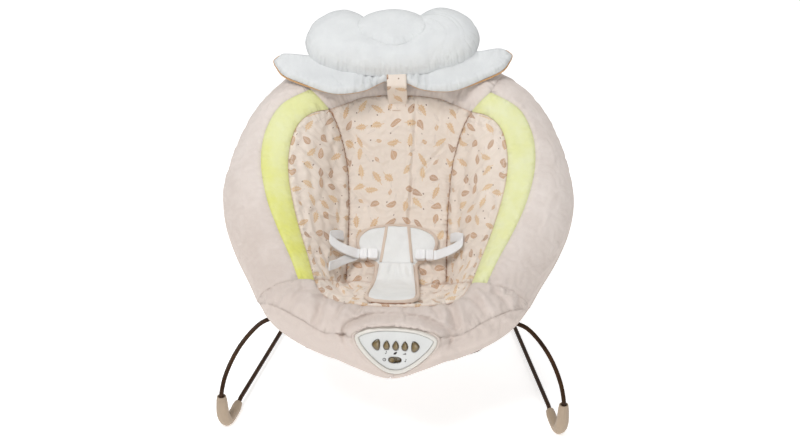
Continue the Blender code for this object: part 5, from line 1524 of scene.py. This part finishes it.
DOME = [
    (1.0, -0.0034), (1.0, 0.0018), (0.975, 0.0028), (0.9, 0.0036), (0.74, 0.0042), (0.5, 0.0046),
    (0.25, 0.0048),
]
drop, arrow = smooth_line(DROP, 6, closed=True), smooth_line(ARROW, 8, closed=True)
for node, outline, u in (
    ("button_previous", arrow * [-1, 1], -0.0277), ("button_music", drop, -0.0132), ("button_nature", drop, 0.0),
    ("button_volume", drop, 0.0132), ("button_next", arrow, 0.0277),
):
    capped(node + "_cap", outline, (u, 0.0), DOME, node, node)
knob_levels = [(1.0, -0.004), (1.0, 0.0022), (0.95, 0.0032), (0.8, 0.0036), (0.62, 0.003), (0.3, 0.0028)]
switch, knob = (SWITCH_AT, SWITCH_V), oval(0.0044, 0.0043)
capped("slide_switch_cap", knob, switch, knob_levels, "slide_switch", "slide_switch")
cover_levels = [(1.0, -0.0056), (1.0, -0.0046), (0.97, -0.0043), (0.5, -0.0043)]
capped("slide_switch_cover", oval(0.0144, 0.0056), switch, cover_levels, "slide_switch")


def mark(name, shapes):
    """Thin printed shapes on the face, each an outline in the unit's frame."""
    points, faces = [], []
    for outline in shapes:
        outline = np.asarray(outline, float)
        faces += ring_faces(len(outline), 2, len(points))
        for w in (FACE_LEVEL - 0.0003, FACE_LEVEL + 0.00012):
            points += list(unit_at(*outline.T, w))
    riding(mesh_piece(name, points, faces, INK, smooth=False))


def block(u, v, wide, tall):
    return [(u, v), (u + wide, v), (u + wide, v + tall), (u, v + tall)]


def note(u, v, size):
    head = oval(0.36 * size, 0.26 * size, 16) + [u, v]
    flag = np.array([(0.36, 1.5), (0.95, 1.0), (0.36, 1.15)]) * size + [u, v]
    return [head, block(u + 0.18 * size, v, 0.26 * size, 1.5 * size), flag]


def ring_mark(u, v, radius, thick):
    turn = np.linspace(math.radians(120), math.radians(420), 26)
    outer = np.stack([np.cos(turn), np.sin(turn)], 1)
    band = np.vstack([outer * radius, outer[::-1] * (radius - thick)]) + [u, v]
    return [band, block(u - thick / 2, v, thick, radius)]


ICON_V = -0.0108
mark("mark_music", note(-0.0138, ICON_V - 0.0012, 0.0024))
leaf = oval(0.0031, 0.0016, 20, 1.5) @ np.array([[0.8, 0.6], [-0.6, 0.8]])
mark("mark_nature", [leaf + [0.0, ICON_V]])
bars = [block(0.011 + k * 0.0017, ICON_V - 0.0014, 0.0011, 0.0011 + 0.0008 * k) for k in range(3)]
mark("mark_volume", bars)
mark("mark_power", ring_mark(-0.0152, SWITCH_V, 0.0025, 0.0009))
mark("mark_sound", note(0.0148, SWITCH_V - 0.0012, 0.0026))
welt_path = unit_at(*grown(pick, FINE_WELT).T, 0.0006)
riding(tube("unit_welt", welt_path, WELT, VELOUR, up=tuple(unit_out), closed=True))


# Dark stitching in the seams of the printed back, its dark brown partly painted shade of the seams' creases
def seam_thread_and_shade(name, line, radius):
    """Worn thread sunk into a seam of the pad, dark brown both as thread and as painted shade of the seam's
    crease.
    """
    line = smooth_line(line, 4)
    spot = np.arange(len(line))
    line = line + np.stack([0.0007 * ripple(spot / 7.0, 61), np.zeros(len(line))], 1)
    path = on_pad(*line.T, front(*line.T) - 0.003)
    worn = radius * np.clip(0.72 + 0.6 * ripple(spot / 11.0, 67), 0.25, 1.25)
    riding(tube(name, path, worn, SEAM_THREAD_SHADE, sides=6))


band_seam = band_side[1 : len(stripe_end_top) + BOLSTER_STEPS // 2]
for word, way in SIDES:
    seam_thread_and_shade("seam_centre_" + word, centre_line[2:-2] * [way, 1.0], 0.0007)
    seam_thread_and_shade("seam_band_" + word, band_seam * [way, 1.0], 0.0004)

# Frame, lights and floor
PAINT = (
    (ROD_PAINT, ("leg_rod", "seat_loop", "back_loop", "floor_rod", "rear_hoop")),
    (TAUPE, ("side_hub", "front_foot", "rod_coupling", "unit_housing", "battery_door", "unit_clip")),
    (STEEL, ("vibration_motor", "eccentric_weight")),
    (WHITE_PLASTIC, ("buckle", "tongue")),
    (RUBBER, ("rear_foot",)), (CREAM, ("unit_bezel",)), (FACE, ("unit_face",)),
    (BOARD, ("circuit_board",)), (DARK, ("speaker",)), (CELL, ("cell",)),
)
for stuff, starts in PAINT:
    for node in frame["nodes"]:
        body = bpy.data.objects.get(node)
        if body and node.startswith(starts):
            body.data.materials.clear()
            body.data.materials.append(stuff)

WHITE = (1.0, 1.0, 1.0, 1.0)
WORLD_LIGHT, FLOOR_GLOW, FLOOR_LEVEL, FLOOR_REACH = 0.4, 0.54, -0.001, 6
LAMPS = (  # name, place, aim, size in metres, power in watts
    ("key", (-0.8, -1.3, 2.5), (0, 0, 0.25), 1.1, 35),
    ("fill", (0.5, -2.4, 0.9), (0, 0.1, 0.35), 1.2, 7),
    ("top", (0.3, 0.9, 2.8), (0, 0, 0.2), 1.6, 13),
)
for name, place, aim, size, power in LAMPS:
    lamp = bpy.data.lights.new(name, "AREA")
    lamp.shape = "DISK"
    lamp.size = size
    lamp.energy = power
    holder = bpy.data.objects.new(name, lamp)
    holder.location = place
    holder.rotation_euler = (Vector(place) - Vector(aim)).to_track_quat("Z", "Y").to_euler()
    stage.collection.objects.link(holder)

# White behind everything for the camera, and softer white light from all round
world = bpy.data.worlds.new("studio")
world.use_nodes = True
nodes, link = world.node_tree.nodes, world.node_tree.links.new
around, white = nodes["Background"], nodes.new("ShaderNodeBackground")
around.inputs[0].default_value = white.inputs[0].default_value = WHITE
around.inputs[1].default_value = WORLD_LIGHT
either = nodes.new("ShaderNodeMixShader")
link(nodes.new("ShaderNodeLightPath").outputs["Is Camera Ray"], either.inputs[0])
link(around.outputs[0], either.inputs[1])
link(white.outputs[0], either.inputs[2])
link(either.outputs[0], nodes["World Output"].inputs[0])
stage.world = world

n = Nodes("studio_floor", 0.9, Emission_Color=WHITE, Emission_Strength=FLOOR_GLOW)
FLOOR = n.finish(n.mix(n.noise(n.coords(), 0.6), (0.93, 0.93, 0.93), (0.96, 0.96, 0.96)))
near, far = -FLOOR_REACH, FLOOR_REACH
corners = [(x, y, FLOOR_LEVEL) for x, y in ((near, near), (far, near), (far, far * 1.5), (near, far * 1.5))]
floor = mesh_piece("floor", corners, [(0, 1, 2, 3)], FLOOR, smooth=False)

OWN_FINISH = ("tan_piping", "tan_binding", "seam_thread_and_shade", "thread")
for piece in stage.objects:
    if piece.type == "MESH" and piece.name not in frame["nodes"] and piece is not floor:
        finish = piece.data.materials[0].name.split(".")[0]
        finish not in OWN_FINISH
